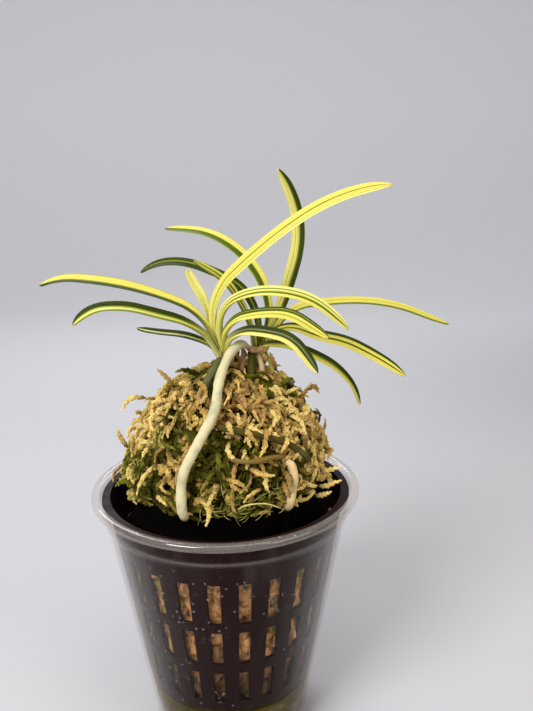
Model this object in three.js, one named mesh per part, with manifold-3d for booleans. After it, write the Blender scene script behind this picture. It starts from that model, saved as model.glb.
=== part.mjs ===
// A wind orchid in its pot: two fans of striped leaves on a mound of moss, held in a slotted
// basket that sits in a clear cup. Millimetres and degrees, +Z up, origin at the centre of the
// cup's flat base. Headings are seen from above: 0 is +X, 90 is +Y, away from the front.
import * as THREE from 'three';
import { mergeVertices } from 'three/addons/utils/BufferGeometryUtils.js';
import Module from 'manifold-3d';

const wasm = await Module();
wasm.setup();

// ---- driving dimensions ----
const GAP = 0.3;            // clearance between pieces that touch
const RIM_Z = 95;           // height of the cup's lip above its base

const CUP = {
  lipRadius: 49, lipHeight: 2.5, wall: 0.8, bandTop: 46.6, bandFoot: 45.0, bandDepth: 9.4,
  coneRadius: 46.0, coneSlope: 0.18, corner: 2.4, floor: 1.0, sides: 40,
};
const BASKET = {
  coneRadius: 43.9, coneSlope: 0.168, wall: 1.2, depth: 73.3, floor: 1.2,
  flangeRadius: 45.4, flangeDrop: 1.9, flangeThick: 1.2, columns: 24, slotShare: 0.42,
  slotRows: [[18.6, 34.9], [38.5, 52.2], [56.3, 69.6]],
  floorHoles: 6, floorHoleRadius: 3, floorHoleRing: 19,
};
const WATER = { top: 19, sides: 32 };

// The mound's core, as half-width by height above the lip, and the strands that cover it.
const MOUND = [[0, 46.5], [8, 45.4], [16, 42.4], [22, 38.4], [26.5, 34], [31, 28], [34.2, 21],
  [36.4, 14], [37.4, 7], [37.8, 0], [37.0, -8], [37.4, -16]];
const MOSS = {
  sides: 18, lean: 2.5, lump: 1.2, toBasket: 0.6, strands: 110, length: 14, width: 6.4, thick: 3.2,
  sunk: 2.4, lift: 2.0, spread: 108, reach: 0.8, swing: 40, seed: 13,
};

// Blades: start point, length, width, heading at the start and the tip, climb at even steps
// from start to tip, and the roll that turns the upper face to the front.
const LEAVES = {
  leaf_a1: {
    start: [-5.3, -4, 156.2], length: 59, width: 5.6, heading: [190, 184],
    climb: [55, 25, 19, 12, 5, -27], roll: -28,
  },
  leaf_a2: {
    start: [-6.3, -6.5, 153.3], length: 48, width: 6.0, heading: [200, 206],
    climb: [40, 19, 19, -1, -52], roll: -30,
  },
  leaf_a3: {
    start: [-5.1, -2.2, 148.3], length: 26, width: 4.2, heading: [168, 172],
    climb: [27, 4, 10], roll: -24,
  },
  leaf_a4: {
    start: [-4.8, -1.2, 159.6], length: 16, width: 4.2, heading: [160, 165],
    climb: [75, 57, 68], roll: -40,
  },
  leaf_a5: {
    start: [-3.2, -4, 159.7], length: 77, width: 6.8, heading: [-8, -14],
    climb: [81, 43, 39, 32, 19, 2], roll: 42,
  },
  leaf_a6: {
    start: [-1.2, -6.9, 157.4], length: 53, width: 5.6, heading: [-14, -14],
    climb: [78, 24, 2, -14, -37, -48], roll: 34,
  },
  leaf_a7: {
    start: [0.2, -8.4, 153], length: 42, width: 5.6, heading: [-20, -26],
    climb: [66, 14, 3, -28, -35], roll: 32,
  },
  leaf_a8: {
    start: [2.2, -10.2, 151.7], length: 38, width: 5.8, heading: [-26, -32],
    climb: [40, 1, -9, -48, -55], roll: 30,
  },
  leaf_b1: {
    start: [19, 9.4, 152.5], length: 59, width: 5.4, heading: [25, 25],
    climb: [61, 69, 72, 91, 113, 130], roll: 68,
  },
  leaf_b2: {
    start: [17.2, 10.8, 154], length: 60, width: 5.4, heading: [160, 156],
    climb: [98, 69, 45, 27, 5, -2], roll: -32,
  },
  leaf_b3: {
    start: [13.5, 7.6, 151.5], length: 56, width: 5.6, heading: [170, 174],
    climb: [86, 60, 26, 20, -4, -39], roll: -32,
  },
  leaf_b4: {
    start: [11.1, 3.2, 151.2], length: 34, width: 4.8, heading: [182, 184],
    climb: [76, 65, 55, 33, 28], roll: -32,
  },
  leaf_b5: {
    start: [20.3, 7.2, 152.2], length: 71, width: 5.0, heading: [8, 4],
    climb: [58, 6, 0, -11, -23, -21], roll: 30,
  },
  leaf_b6: {
    start: [20, 3.6, 151.5], length: 50, width: 6.2, heading: [-10, -14],
    climb: [21, -23, -10, -26, -30, -40], roll: 34,
  },
  leaf_b7: {
    start: [15.2, 0.8, 146.7], length: 45, width: 5.2, heading: [-2, -6],
    climb: [7, -20, -29, -51, -81], roll: 30,
  },
};
const BLADE = {
  thick: 1.1, edge: 0.7, fold: 28, rows: 10, columns: 4, startShare: 0.58, fullAt: 0.35,
  taperFrom: 0.5, taperTo: 0.6, roundFrom: 0.9,
};

// Short stems: the foot of each, and the leaf sheaths that rise from it to the blades.
const STEMS = {
  stem_a: { foot: [1.6, -4.4, 142.2], fan: 'leaf_a' },
  stem_b: { foot: [12.2, 3.4, 139.6], fan: 'leaf_b' },
};
const SHEATH = { foot: 1.1, tip: 1.35, sides: 5, rows: 2 };
const STEM_CORE = { foot: 1.9, top: 3.2, height: 6.5, sides: 8, rows: 2, root: 0.3 };

// Roots: points along the middle and the radius. Each ends in the moss.
const ROOTS = {
  root_front: { radius: 1.85, steps: 20, colour: 'root', points: [[8.4, -4.2, 147.2], [6.2, -7.4, 148.6],
    [3.2, -9.8, 146.9], [1.0, -12.2, 143.9], [-1.5, -21, 139.2], [-3.3, -29, 131.6], [-8.6, -34.2, 123],
    [-13.6, -36.4, 113.5], [-14.4, -37.6, 104], [-13.4, -37.2, 95.5], [-12.6, -36.3, 86]] },
  root_left: { radius: 1.5, steps: 10, colour: 'greyRoot', points: [[-0.7, -8.2, 144.4], [-2.2, -11.4, 142],
    [-3.6, -14.6, 140.6], [-5.8, -18.4, 138], [-7.2, -21, 133.5]] },
  root_right: { radius: 1.5, steps: 10, colour: 'root', points: [[18.6, -28.4, 113.6], [21.1, -32.2, 114],
    [22, -33.6, 109.9], [21.2, -34.8, 105.5], [20.2, -35.6, 100.5], [19.4, -35.2, 94], [18.8, -34, 88]] },
  root_tan: { radius: 1.0, steps: 7, colour: 'oldRoot', points: [[7.4, -0.8, 144.8], [7.2, -3.4, 143.6],
    [6.6, -5.2, 141.8], [6.1, -6, 138.6]] },
  root_olive: { radius: 1.4, steps: 7, colour: 'oldRoot', points: [[10.2, -0.6, 144.4], [10, -4, 142.8],
    [9.9, -5.8, 140.6], [10, -6.6, 137.2]] },
  root_pink: { radius: 0.9, steps: 7, colour: 'root', points: [[12.6, 0.2, 144.2], [13, -3.4, 142.6],
    [13.5, -5.2, 140.6], [13.9, -6, 137.4]] },
  root_small: { radius: 0.8, steps: 7, colour: 'root', points: [[15, 1.2, 143.6], [16, -1.8, 142.2],
    [17, -3.8, 140.2], [17.6, -4.8, 137]] },
  root_old: { radius: 1.1, steps: 12, colour: 'oldRoot', points: [[-3.4, -27.6, 126.2], [0.4, -32, 127],
    [6.4, -32.6, 125.6], [11.8, -32.2, 124.2], [20, -30, 120.4], [26.4, -27.2, 114.8], [27.4, -24, 111]] },
};
const ROOT_QUARTER = 4;     // a root's section has twice this many sides

const FINISH = {
  clear: { color: 0xd8dcdd, roughness: 0.08, metalness: 0, transparent: true, opacity: 0.35 },
  basket: { color: 0x1c1d21, roughness: 0.35, metalness: 0 },
  water: { color: 0x7d8436, roughness: 0.05, metalness: 0, transparent: true, opacity: 0.6 },
  moss: { color: 0xb99b5c, roughness: 0.95, metalness: 0 },
  root: { color: 0xd9dcbc, roughness: 0.7, metalness: 0 },
  greyRoot: { color: 0x8f9f86, roughness: 0.7, metalness: 0 },
  oldRoot: { color: 0x6b6032, roughness: 0.85, metalness: 0 },
  sheath: { color: 0xb9bd62, roughness: 0.45, metalness: 0 },
  leaf: { color: 0xdfe35a, roughness: 0.4, metalness: 0 },
};

// ---- geometry helpers ----
const rad = THREE.MathUtils.degToRad;

function seededRandom(seed) {
  let state = seed;
  return () => {
    state = (state * 1664525 + 1013904223) % 4294967296;
    return state / 4294967296;
  };
}

// One closed indexed mesh: shared vertices merged and collapsed triangles dropped.
function welded(geometry) {
  geometry.deleteAttribute('normal');
  geometry.deleteAttribute('uv');
  const merged = mergeVertices(geometry, 1e-4);
  const index = [];
  for (let i = 0; i < merged.index.count; i += 3) {
    const [a, b, c] = [merged.index.getX(i), merged.index.getX(i + 1), merged.index.getX(i + 2)];
    if (a !== b && b !== c && c !== a) index.push(a, b, c);
  }
  merged.setIndex(index);
  return merged;
}

function toSolid(geometry) {
  const shape = welded(geometry);
  return new wasm.Manifold(new wasm.Mesh({
    numProp: 3,
    vertProperties: new Float32Array(shape.attributes.position.array),
    triVerts: new Uint32Array(shape.index.array),
  }));
}

// The largest connected body of a solid, so no sealed hollow or loose scrap is left.
function mainBody(solid) {
  const bodies = solid.decompose();
  bodies.sort((a, b) => b.volume() - a.volume());
  return bodies[0];
}

function toGeometry(solid) {
  const result = solid.getMesh();
  const geometry = new THREE.BufferGeometry();
  geometry.setAttribute('position', new THREE.BufferAttribute(new Float32Array(result.vertProperties), 3));
  geometry.setIndex(new THREE.BufferAttribute(new Uint32Array(result.triVerts), 1));
  return geometry;
}

function piece(name, geometry, finish) {
  geometry.computeVertexNormals();
  const mesh = new THREE.Mesh(geometry, new THREE.MeshStandardMaterial(FINISH[finish]));
  mesh.name = name;
  return mesh;
}

// A turned solid from [radius, height] points that run up the outside from the axis and back.
function turned(profile, sides, phase = 0) {
  const points = profile.map(([r, z]) => new THREE.Vector2(r, z));
  const geometry = new THREE.LatheGeometry(points, sides, rad(phase));
  geometry.rotateX(Math.PI / 2);
  return geometry;
}

// Moves every vertex by a function of its place.
function reshape(geometry, move) {
  const position = geometry.attributes.position;
  const point = new THREE.Vector3();
  for (let i = 0; i < position.count; i += 1) {
    point.fromBufferAttribute(position, i);
    move(point);
    position.setXYZ(i, point.x, point.y, point.z);
  }
  return geometry;
}

// A tapered rod of a few sides along a curve, with half-width and half-height by its share.
function rod(curve, sides, rows, halfSize) {
  const geometry = new THREE.CylinderGeometry(1, 1, 1, sides, rows);
  const point = new THREE.Vector3();
  return reshape(geometry, (vertex) => {
    const share = vertex.y + 0.5;
    const [halfWidth, halfHeight] = halfSize(share);
    const along = curve.getTangentAt(share);
    const side = new THREE.Vector3(along.y, -along.x, 0.001).cross(along).cross(along).normalize();
    const up = new THREE.Vector3().crossVectors(side, along);
    curve.getPointAt(share, point);
    const across = vertex.x * halfWidth;
    const above = vertex.z * halfHeight;
    vertex.copy(point).addScaledVector(side, across).addScaledVector(up, above);
  });
}

// ---- the pot ----
const cupRadius = (z) => CUP.coneRadius + CUP.coneSlope * (z - RIM_Z);
const basketRadius = (z) => BASKET.coneRadius + BASKET.coneSlope * (z - RIM_Z);

function clearCup() {
  const bandZ = RIM_Z - CUP.bandDepth;
  const lipZ = RIM_Z - CUP.lipHeight;
  const foot = cupRadius(0);
  const profile = [
    [0, 0], [foot - CUP.corner, 0], [foot - 0.3 * CUP.corner, 0.3 * CUP.corner],
    [cupRadius(CUP.corner), CUP.corner], [cupRadius(bandZ - 0.6), bandZ - 0.6], [CUP.bandFoot, bandZ],
    [CUP.bandTop, lipZ], [CUP.lipRadius - 0.5, lipZ], [CUP.lipRadius, lipZ + 0.7],
    [CUP.lipRadius, RIM_Z - 0.7], [CUP.lipRadius - 0.6, RIM_Z], [CUP.bandTop - 0.2, RIM_Z],
    [CUP.bandTop - CUP.wall, RIM_Z - 0.8], [CUP.bandTop - CUP.wall, lipZ],
    [CUP.bandFoot - CUP.wall, bandZ + 0.2], [cupRadius(bandZ) - CUP.wall, bandZ - 0.8],
    [cupRadius(CUP.floor) - CUP.wall, CUP.floor], [0, CUP.floor],
  ];
  return piece('clear_cup', welded(turned(profile, CUP.sides)), 'clear');
}

// The upright slots of the basket, one box for each, as wide as their share of the pitch.
function slotCutters() {
  const cutters = [];
  for (const [top, bottom] of BASKET.slotRows) {
    const middle = RIM_Z - (top + bottom) / 2;
    const radius = basketRadius(middle);
    const width = BASKET.slotShare * 2 * Math.PI * radius / BASKET.columns;
    for (let column = 0; column < BASKET.columns; column += 1) {
      const box = new THREE.BoxGeometry(12, width, bottom - top);
      box.translate(radius, 0, middle);
      box.rotateZ(rad(-90 + (column + 0.5) * 360 / BASKET.columns));
      cutters.push(toSolid(box));
    }
  }
  return cutters;
}

function floorCutters() {
  const floorZ = RIM_Z - BASKET.depth;
  const cutters = [];
  for (let hole = 0; hole < BASKET.floorHoles; hole += 1) {
    const cylinder = new THREE.CylinderGeometry(BASKET.floorHoleRadius, BASKET.floorHoleRadius, 8, 8);
    cylinder.rotateX(Math.PI / 2);
    cylinder.translate(BASKET.floorHoleRing, 0, floorZ);
    cylinder.rotateZ(rad(hole * 360 / BASKET.floorHoles));
    cutters.push(toSolid(cylinder));
  }
  return cutters;
}

function netBasket() {
  const floorZ = RIM_Z - BASKET.depth;
  const flangeTop = RIM_Z - BASKET.flangeDrop;
  const flangeFoot = flangeTop - BASKET.flangeThick;
  const profile = [
    [0, floorZ], [basketRadius(floorZ), floorZ], [basketRadius(flangeFoot), flangeFoot],
    [BASKET.flangeRadius - 0.3, flangeFoot], [BASKET.flangeRadius, flangeTop],
    [basketRadius(flangeTop) - BASKET.wall, flangeTop],
    [basketRadius(floorZ) - BASKET.wall, floorZ + BASKET.floor], [0, floorZ + BASKET.floor],
  ];
  const halfFacet = 360 / BASKET.columns / 4;
  let solid = toSolid(turned(profile, BASKET.columns * 2, halfFacet));
  for (const cutter of [...slotCutters(), ...floorCutters()]) solid = solid.subtract(cutter);
  return piece('net_basket', toGeometry(mainBody(solid)), 'basket');
}

function drainWater() {
  const floorZ = CUP.floor + GAP;
  const inside = (z) => cupRadius(z) - CUP.wall - GAP - 0.1;
  const profile = [[0, floorZ], [inside(floorZ), floorZ], [inside(WATER.top), WATER.top], [0, WATER.top]];
  return piece('drain_water', welded(turned(profile, WATER.sides)), 'water');
}

// ---- leaves ----
// The climb is given at even steps and changes evenly between them.
function climbAt(climb, share) {
  const place = share * (climb.length - 1);
  const step = Math.min(Math.floor(place), climb.length - 2);
  return THREE.MathUtils.lerp(climb[step], climb[step + 1], place - step);
}

function directionAt(leaf, share) {
  const heading = rad(THREE.MathUtils.lerp(leaf.heading[0], leaf.heading[1], share));
  const climb = rad(climbAt(leaf.climb, share));
  return new THREE.Vector3(
    Math.cos(climb) * Math.cos(heading), Math.cos(climb) * Math.sin(heading), Math.sin(climb));
}

// Frames down a blade: its middle point, the way along, the way across and the way up.
function bladeFrames(leaf, rows) {
  const steps = rows * 4;
  const point = new THREE.Vector3(...leaf.start);
  const frames = [];
  for (let step = 0; step <= steps; step += 1) {
    const share = step / steps;
    const along = directionAt(leaf, share);
    if (step > 0) point.addScaledVector(directionAt(leaf, share - 0.5 / steps), leaf.length / steps);
    if (step % 4 === 0) {
      const heading = rad(THREE.MathUtils.lerp(leaf.heading[0], leaf.heading[1], share));
      const across = new THREE.Vector3(Math.sin(heading), -Math.cos(heading), 0);
      const up = new THREE.Vector3().crossVectors(across, along);
      across.applyAxisAngle(along, rad(leaf.roll));
      up.applyAxisAngle(along, rad(leaf.roll));
      frames.push({ point: point.clone(), across, up });
    }
  }
  return frames;
}

// A blade's width as a share of its full width: narrow foot, long taper and round tip.
function widthShare(share) {
  const swell = Math.sin(Math.min(share / BLADE.fullAt, 1) * Math.PI / 2);
  const foot = BLADE.startShare + (1 - BLADE.startShare) * swell;
  const taper = Math.max(0, (share - BLADE.taperFrom) / (1 - BLADE.taperFrom));
  const tip = Math.max(0, (share - BLADE.roundFrom) / (1 - BLADE.roundFrom));
  return foot * (1 - (1 - BLADE.taperTo) * taper * taper) * Math.sqrt(1 - 0.9 * tip * tip);
}

function bladeSolid(leaf) {
  const frames = bladeFrames(leaf, BLADE.rows);
  const geometry = new THREE.BoxGeometry(1, 1, 1, BLADE.rows, BLADE.columns, 1);
  const fold = rad(BLADE.fold);
  reshape(geometry, (vertex) => {
    const row = Math.round((vertex.x + 0.5) * BLADE.rows);
    const frame = frames[row];
    const half = leaf.width * widthShare(row / BLADE.rows) / 2;
    const side = 2 * vertex.y;
    const thick = THREE.MathUtils.lerp(BLADE.thick, BLADE.edge, Math.abs(side));
    const across = side * half * Math.cos(fold);
    const above = (Math.abs(side) - 1) * half * Math.sin(fold) + vertex.z * thick;
    vertex.copy(frame.point).addScaledVector(frame.across, -across).addScaledVector(frame.up, above);
  });
  return toSolid(geometry);
}

// ---- stems: a short core, and the sheaths of one fan fused to it, up to where each blade starts ----
function sheathCurve(from, leaf, grow) {
  const along = directionAt(leaf, 0);
  const to = new THREE.Vector3(...leaf.start).addScaledVector(along, grow - GAP);
  const middle = to.clone().addScaledVector(along, -to.distanceTo(from) * 0.4);
  middle.z = Math.min(middle.z, to.z);
  return new THREE.QuadraticBezierCurve3(from, middle, to);
}

function stemSolid(stem, grow) {
  const leaves = Object.keys(LEAVES).filter((name) => name.startsWith(stem.fan)).map((name) => LEAVES[name]);
  const foot = new THREE.Vector3(...stem.foot);
  const middle = new THREE.Vector3();
  for (const leaf of leaves) middle.add(new THREE.Vector3(...leaf.start).divideScalar(leaves.length));
  const rise = middle.sub(foot).setLength(STEM_CORE.height);
  const core = new THREE.LineCurve3(
    foot.clone().addScaledVector(rise, -grow / STEM_CORE.height), foot.clone().addScaledVector(rise, 1));
  const coreSize = (share) => {
    const swell = Math.sin(share * Math.PI * 0.6);
    const radius = THREE.MathUtils.lerp(STEM_CORE.foot, STEM_CORE.top, swell) + grow;
    return [radius, radius];
  };
  const sheathSize = (share) => {
    const radius = THREE.MathUtils.lerp(SHEATH.foot, SHEATH.tip, share) + grow;
    return [radius, radius];
  };
  let solid = toSolid(rod(core, STEM_CORE.sides, STEM_CORE.rows, coreSize));
  for (const leaf of leaves) {
    const curve = sheathCurve(foot.clone().addScaledVector(rise, STEM_CORE.root), leaf, grow);
    solid = solid.add(toSolid(rod(curve, SHEATH.sides, SHEATH.rows, sheathSize)));
  }
  return mainBody(solid);
}

// ---- roots ----
function rootSolid(root, grow) {
  const points = root.points.map((point) => new THREE.Vector3(...point));
  const end = points.length - 1;
  points[0].add(points[0].clone().sub(points[1]).setLength(grow));
  points[end].add(points[end].clone().sub(points[end - 1]).setLength(grow));
  const curve = new THREE.CatmullRomCurve3(points);
  const section = new THREE.Shape();
  section.absarc(0, 0, root.radius + grow, 0, 2 * Math.PI);
  const geometry = new THREE.ExtrudeGeometry(section, {
    steps: root.steps, extrudePath: curve, curveSegments: ROOT_QUARTER,
  });
  return toSolid(geometry);
}

// ---- moss ----
const moundCurve = new THREE.SplineCurve(MOUND.map(([r, z]) => new THREE.Vector2(r, RIM_Z + z)));

function moundLean(z) {
  const share = THREE.MathUtils.clamp((z - RIM_Z) / MOUND[0][1], 0, 1);
  return MOSS.lean * share;
}

function lumps(angle, z) {
  const high = Math.sin(3 * angle + z * 0.11) + Math.sin(5 * angle - z * 0.19 + 1.3);
  return MOSS.lump * (high + Math.sin(9 * angle + z * 0.31)) / 2;
}

// The mound's core above and the fill of the basket below, as one turned body.
function mossCore() {
  const floorZ = RIM_Z - BASKET.depth + BASKET.floor + MOSS.toBasket;
  const fillRadius = (z) => basketRadius(z) - BASKET.wall - MOSS.toBasket;
  const fill = [[0, floorZ], [fillRadius(floorZ), floorZ], [fillRadius(RIM_Z - 40), RIM_Z - 40],
    [fillRadius(RIM_Z - 24), RIM_Z - 24]];
  const mound = MOUND.slice().reverse().map(([r, z]) => [r, RIM_Z + z]);
  const geometry = turned([...fill, ...mound], MOSS.sides);
  reshape(geometry, (vertex) => {
    const radius = Math.hypot(vertex.x, vertex.y);
    if (vertex.z > RIM_Z - 5 && radius > 0.01) {
      const share = Math.min(1, radius / 12);
      const scale = 1 + share * lumps(Math.atan2(vertex.y, vertex.x), vertex.z) / radius;
      vertex.x *= scale;
      vertex.y *= scale;
    }
    vertex.x += moundLean(vertex.z);
  });
  return toSolid(geometry);
}

// A point of the mound at a share of its profile and an angle, raised by a height.
function onMound(share, angle, height) {
  const place = moundCurve.getPointAt(share);
  const slope = moundCurve.getTangentAt(share);
  const radius = place.x - slope.y * height;
  const z = place.y + slope.x * height;
  return new THREE.Vector3(radius * Math.cos(angle) + moundLean(z), radius * Math.sin(angle), z);
}

// One strand: rooted in the core, it rises, bends over and lies along the mound. Strands are
// spread evenly by the golden angle, and turn with a slow swirl and some chance.
function mossStrand(index, random) {
  const spread = rad(MOSS.spread);
  const part = (index + 0.5) / MOSS.strands;
  const share = MOSS.reach * Math.acos(1 - part * (1 - Math.cos(spread))) / spread;
  const angle = index * Math.PI * (3 - Math.sqrt(5));
  const swirl = 2 * Math.sin(angle * 2 + share * 5) + rad(MOSS.swing) * (2 * random() - 1);
  const length = MOSS.length * (0.8 + 0.4 * random());
  const reach = moundCurve.getLength();
  const radius = Math.max(5, moundCurve.getPointAt(share).x);
  const at = (step, height) => {
    const down = THREE.MathUtils.clamp(share + step * length * Math.sin(swirl) / reach, 0.01, 0.86);
    return onMound(down, angle + step * length * Math.cos(swirl) / radius, height);
  };
  const lift = MOSS.lift * (0.7 + 0.6 * random());
  const curve = new THREE.CatmullRomCurve3([
    at(-0.45, -MOSS.sunk), at(-0.2, lift * 0.5), at(0.15, lift), at(0.5, lift * 0.6)]);
  const size = (along) => {
    const swell = 0.35 + 0.65 * Math.sin(Math.PI * (0.2 + 0.72 * along));
    return [MOSS.width * swell / 2, MOSS.thick * swell / 2];
  };
  return toSolid(rod(curve, 3, 2, size));
}

function mossBody(cutters) {
  const random = seededRandom(MOSS.seed);
  let solid = mossCore();
  for (let index = 0; index < MOSS.strands; index += 1) solid = solid.add(mossStrand(index, random));
  for (const cutter of cutters) solid = solid.subtract(cutter);
  return piece('moss', toGeometry(mainBody(solid)), 'moss');
}

// ---- assembly ----
const orchid = new THREE.Group();
orchid.add(clearCup(), netBasket(), drainWater());

const cutters = [];
const stemClearance = [];
for (const [name, stem] of Object.entries(STEMS)) {
  orchid.add(piece(name, toGeometry(stemSolid(stem, 0)), 'sheath'));
  stemClearance.push(stemSolid(stem, GAP));
}
for (const [name, leaf] of Object.entries(LEAVES)) {
  let blade = bladeSolid(leaf);
  for (const clearance of stemClearance) blade = blade.subtract(clearance);
  orchid.add(piece(name, toGeometry(mainBody(blade)), 'leaf'));
}
for (const [name, root] of Object.entries(ROOTS)) {
  let solid = rootSolid(root, 0);
  for (const clearance of stemClearance) solid = solid.subtract(clearance);
  orchid.add(piece(name, toGeometry(mainBody(solid)), root.colour));
  cutters.push(rootSolid(root, GAP));
}
orchid.add(mossBody([...cutters, ...stemClearance]));

export default orchid;
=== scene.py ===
"""A potted wind orchid: two fans of striped leaves, their roots, a mound of dried moss, and
a slotted basket standing in a clear cup. All sizes are in metres and angles in radians,
unless a name says degrees. The origin is the centre of the cup's base, and +Z is up."""

import math
import random
from bisect import bisect_left

import bmesh
import bpy
from bpy.props import FloatProperty, FloatVectorProperty, IntProperty, PointerProperty
from mathutils import Matrix, Quaternion, Vector, noise


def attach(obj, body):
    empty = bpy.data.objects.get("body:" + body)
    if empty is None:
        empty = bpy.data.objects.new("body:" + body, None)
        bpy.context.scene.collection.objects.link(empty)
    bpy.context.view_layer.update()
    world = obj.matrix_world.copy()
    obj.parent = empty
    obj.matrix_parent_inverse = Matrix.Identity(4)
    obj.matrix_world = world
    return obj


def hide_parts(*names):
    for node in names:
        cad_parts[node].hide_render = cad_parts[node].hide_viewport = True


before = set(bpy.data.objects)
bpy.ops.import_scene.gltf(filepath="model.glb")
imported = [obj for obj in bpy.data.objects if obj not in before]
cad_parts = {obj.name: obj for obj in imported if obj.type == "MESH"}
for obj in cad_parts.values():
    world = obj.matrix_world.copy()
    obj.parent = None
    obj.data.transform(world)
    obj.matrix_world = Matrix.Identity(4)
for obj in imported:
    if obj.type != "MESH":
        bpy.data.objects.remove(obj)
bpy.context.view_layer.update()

bl_info = {
    "name": "Potted wind orchid",
    "version": (1, 0, 0),
    "blender": (4, 5, 0),
    "location": "View3D > Sidebar > Orchid",
    "description": "Builds a potted wind orchid, its moss, basket and cup, piece by piece",
    "category": "Add Mesh",
}

TURN = 2 * math.pi
MARGIN = 1e-5               # heights and radii this close count as the same

# ---- sizes of the pot ----
LIP_Z = 0.095
CUP_SLOPE = 0.18            # growth of the cup's radius for each metre of height
CUP_RADIUS = 0.046          # outside the cone, at the lip's height
CUP_WALL = 0.0008
CUP_FLOOR = 0.001
CUP_STEPS = 96
# The cup's outline. Each pair ends with a height. It starts with a radius in the band and the
# throat, and with a distance inward from the cone's foot, from the lip or from the inner cone.
CUP_FOOT = ((0.0034, 0), (0.0024, 0.0001), (0.0012, 0.0004), (0.0004, 0.0011))
CUP_CONE = (0.0024, 0.006, 0.084)
CUP_BAND = ((0.0447, 0.0851), (0.045, 0.0856), (0.0453, 0.0863), (0.0465, 0.0916),
            (0.0468, 0.0922), (0.0475, 0.0924))
CUP_LIP = ((0.0006, 0.0924), (0.00015, 0.0927), (0, 0.0932), (0, 0.0941), (0.0002, 0.0946),
           (0.0007, 0.095), (0.0024, 0.095))
CUP_THROAT = ((0.0461, 0.0947), (0.0458, 0.0941), (0.0457, 0.0925), (0.0445, 0.0866), (0.0442, 0.0859))
CUP_INNER = ((0, 0.0845), (0, 0.006), (0.000228, 0.0026), (0.001092, 0.0014), (0.0026, CUP_FLOOR))
LIP_FROM = (0.0915, 0.0926)     # the lip's dull finish begins between these heights
LEDGE_FROM = (0.0852, 0.0861)   # and the ledge's between these
LEDGE_UNTIL = (0.0872, 0.0864)  # and ends between these
BASKET_SLOPE = 0.168
BASKET_RADIUS = 0.0439
BASKET_WALL = 0.0012
BASKET_TOP = 0.0931
BASKET_FLOOR = 0.0217
BASKET_COLUMNS = 24
BASKET_FLANGE = 0.0454      # outer radius of the flange
FLANGE_EDGE = 0.0003
SHARP_EDGE = 0.9            # edges that turn by more than this are rounded
# Bottom and top of each row of slots.
SLOT_ROWS = [(0.0601, 0.0764), (0.0428, 0.0565), (0.0254, 0.0387)]
SLOT_SHARE = 0.42           # of a column's width
FLOOR_RINGS = (0, 0.009, 0.016, 0.022, 0.026)
FLOOR_HOLES = 6             # between the third ring and the fourth
FLOOR_HOLE_SHARE = 0.26     # of the way from one hole to the next
WATER_GAP = 0.0004          # between the water and the cup
WATER_BEND = 0.006          # the water follows the cup's cone from here up

# ---- sizes of the moss ----
# The mound's outline: half-width and height above the lip.
MOUND = [(0.0374, -0.016), (0.037, -0.008), (0.0378, 0.0), (0.0374, 0.007), (0.0364, 0.014),
         (0.0342, 0.021), (0.031, 0.028), (0.0265, 0.034), (0.022, 0.0384), (0.016, 0.0424),
         (0.008, 0.0454), (0.0, 0.0465)]
MOUND_HEIGHT = 0.0465
MOUND_LEAN = 0.0025
MOUND_LUMP = 0.0024
FILL_LEVELS = (0.0235, 0.035, 0.045, 0.055, 0.066, 0.0785)    # heights of the basket's fill
FILL_SINK = 0.0012          # the fill lies this far inside the basket's wall
FILL_TOP = (0.0775, 0.0785)     # bark gives way to moss between these heights
FILL_SHADE = (0.044, 0.03)  # the fill darkens downward between these
CORE_SINK = 0.0034          # the dark core lies this far below the mound's outline
CORE_NECK = 0.0012          # and this much further in below the lip
CORE_SHADE = (0.101, 0.0975)    # painted shade: the core is near black below these heights, down to the fill
CORE_ROUGHNESS = 0.0009
CORE_LIFT = 0.0006          # the fill starts this far above the basket's floor
CORE_EDGE = 0.004           # longer edges of the core are cut in two
CORE_STEPS = 72
MOSS_FROM = 0.33            # sprigs cover the mound from this share of its area
MOSS_TO = 0.995             # up to this one
MOSS_EDGE = 0.103           # sprigs below this height lie along the rim
LOW_BULGE = 0.0016          # the moss stands this much further out on the left,
LOW_BULGE_TO = 0.108        # up to this height,
SIDE_PRESS = 0.0013         # and this much further in on both sides,
SIDE_PRESS_FROM = 0.1       # from this height up
SHADY_TO = 0.112            # painted shade: some front sprigs below this height take the olive of shaded moss
RIGHT_SIDE = 0.016          # half the sprigs turn the other way from here to the right
GOLDEN_SHARE = 0.6180339887
SPRIG_TURN = 1.7 * math.pi * (3 - math.sqrt(5))
SPRIG_SIDES = 6
SPRIG_ROWS = 10
SPRIG_SCALY = 0.26          # how far its scales stand out, as a share of its radius
SPRIG_THIN = 0.75           # thickness as a share of width
SPRIG_BLUNT = 0.16          # how blunt its foot is
SCALE_REACH = 0.7           # how far a scale reaches towards the next row
STRAND = "strand"           # the UV layer of the moss: a sprig's tone, and the place along it
STRAND_MIDDLE = 0.8         # the place along it that threads and chips are given
# For each kind of moss: the stretch of tones it takes, and the piece it belongs to.
MOSS_TONES = {"cream": (0.72, 1), "straw": (0.1, 0.86), "rust": (0, 1), "green": (0, 1), "olive": (0, 1)}
MOSS_PIECE = {"cream": "straw", "straw": "straw", "rust": "rust", "green": "green", "olive": "olive"}
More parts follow.
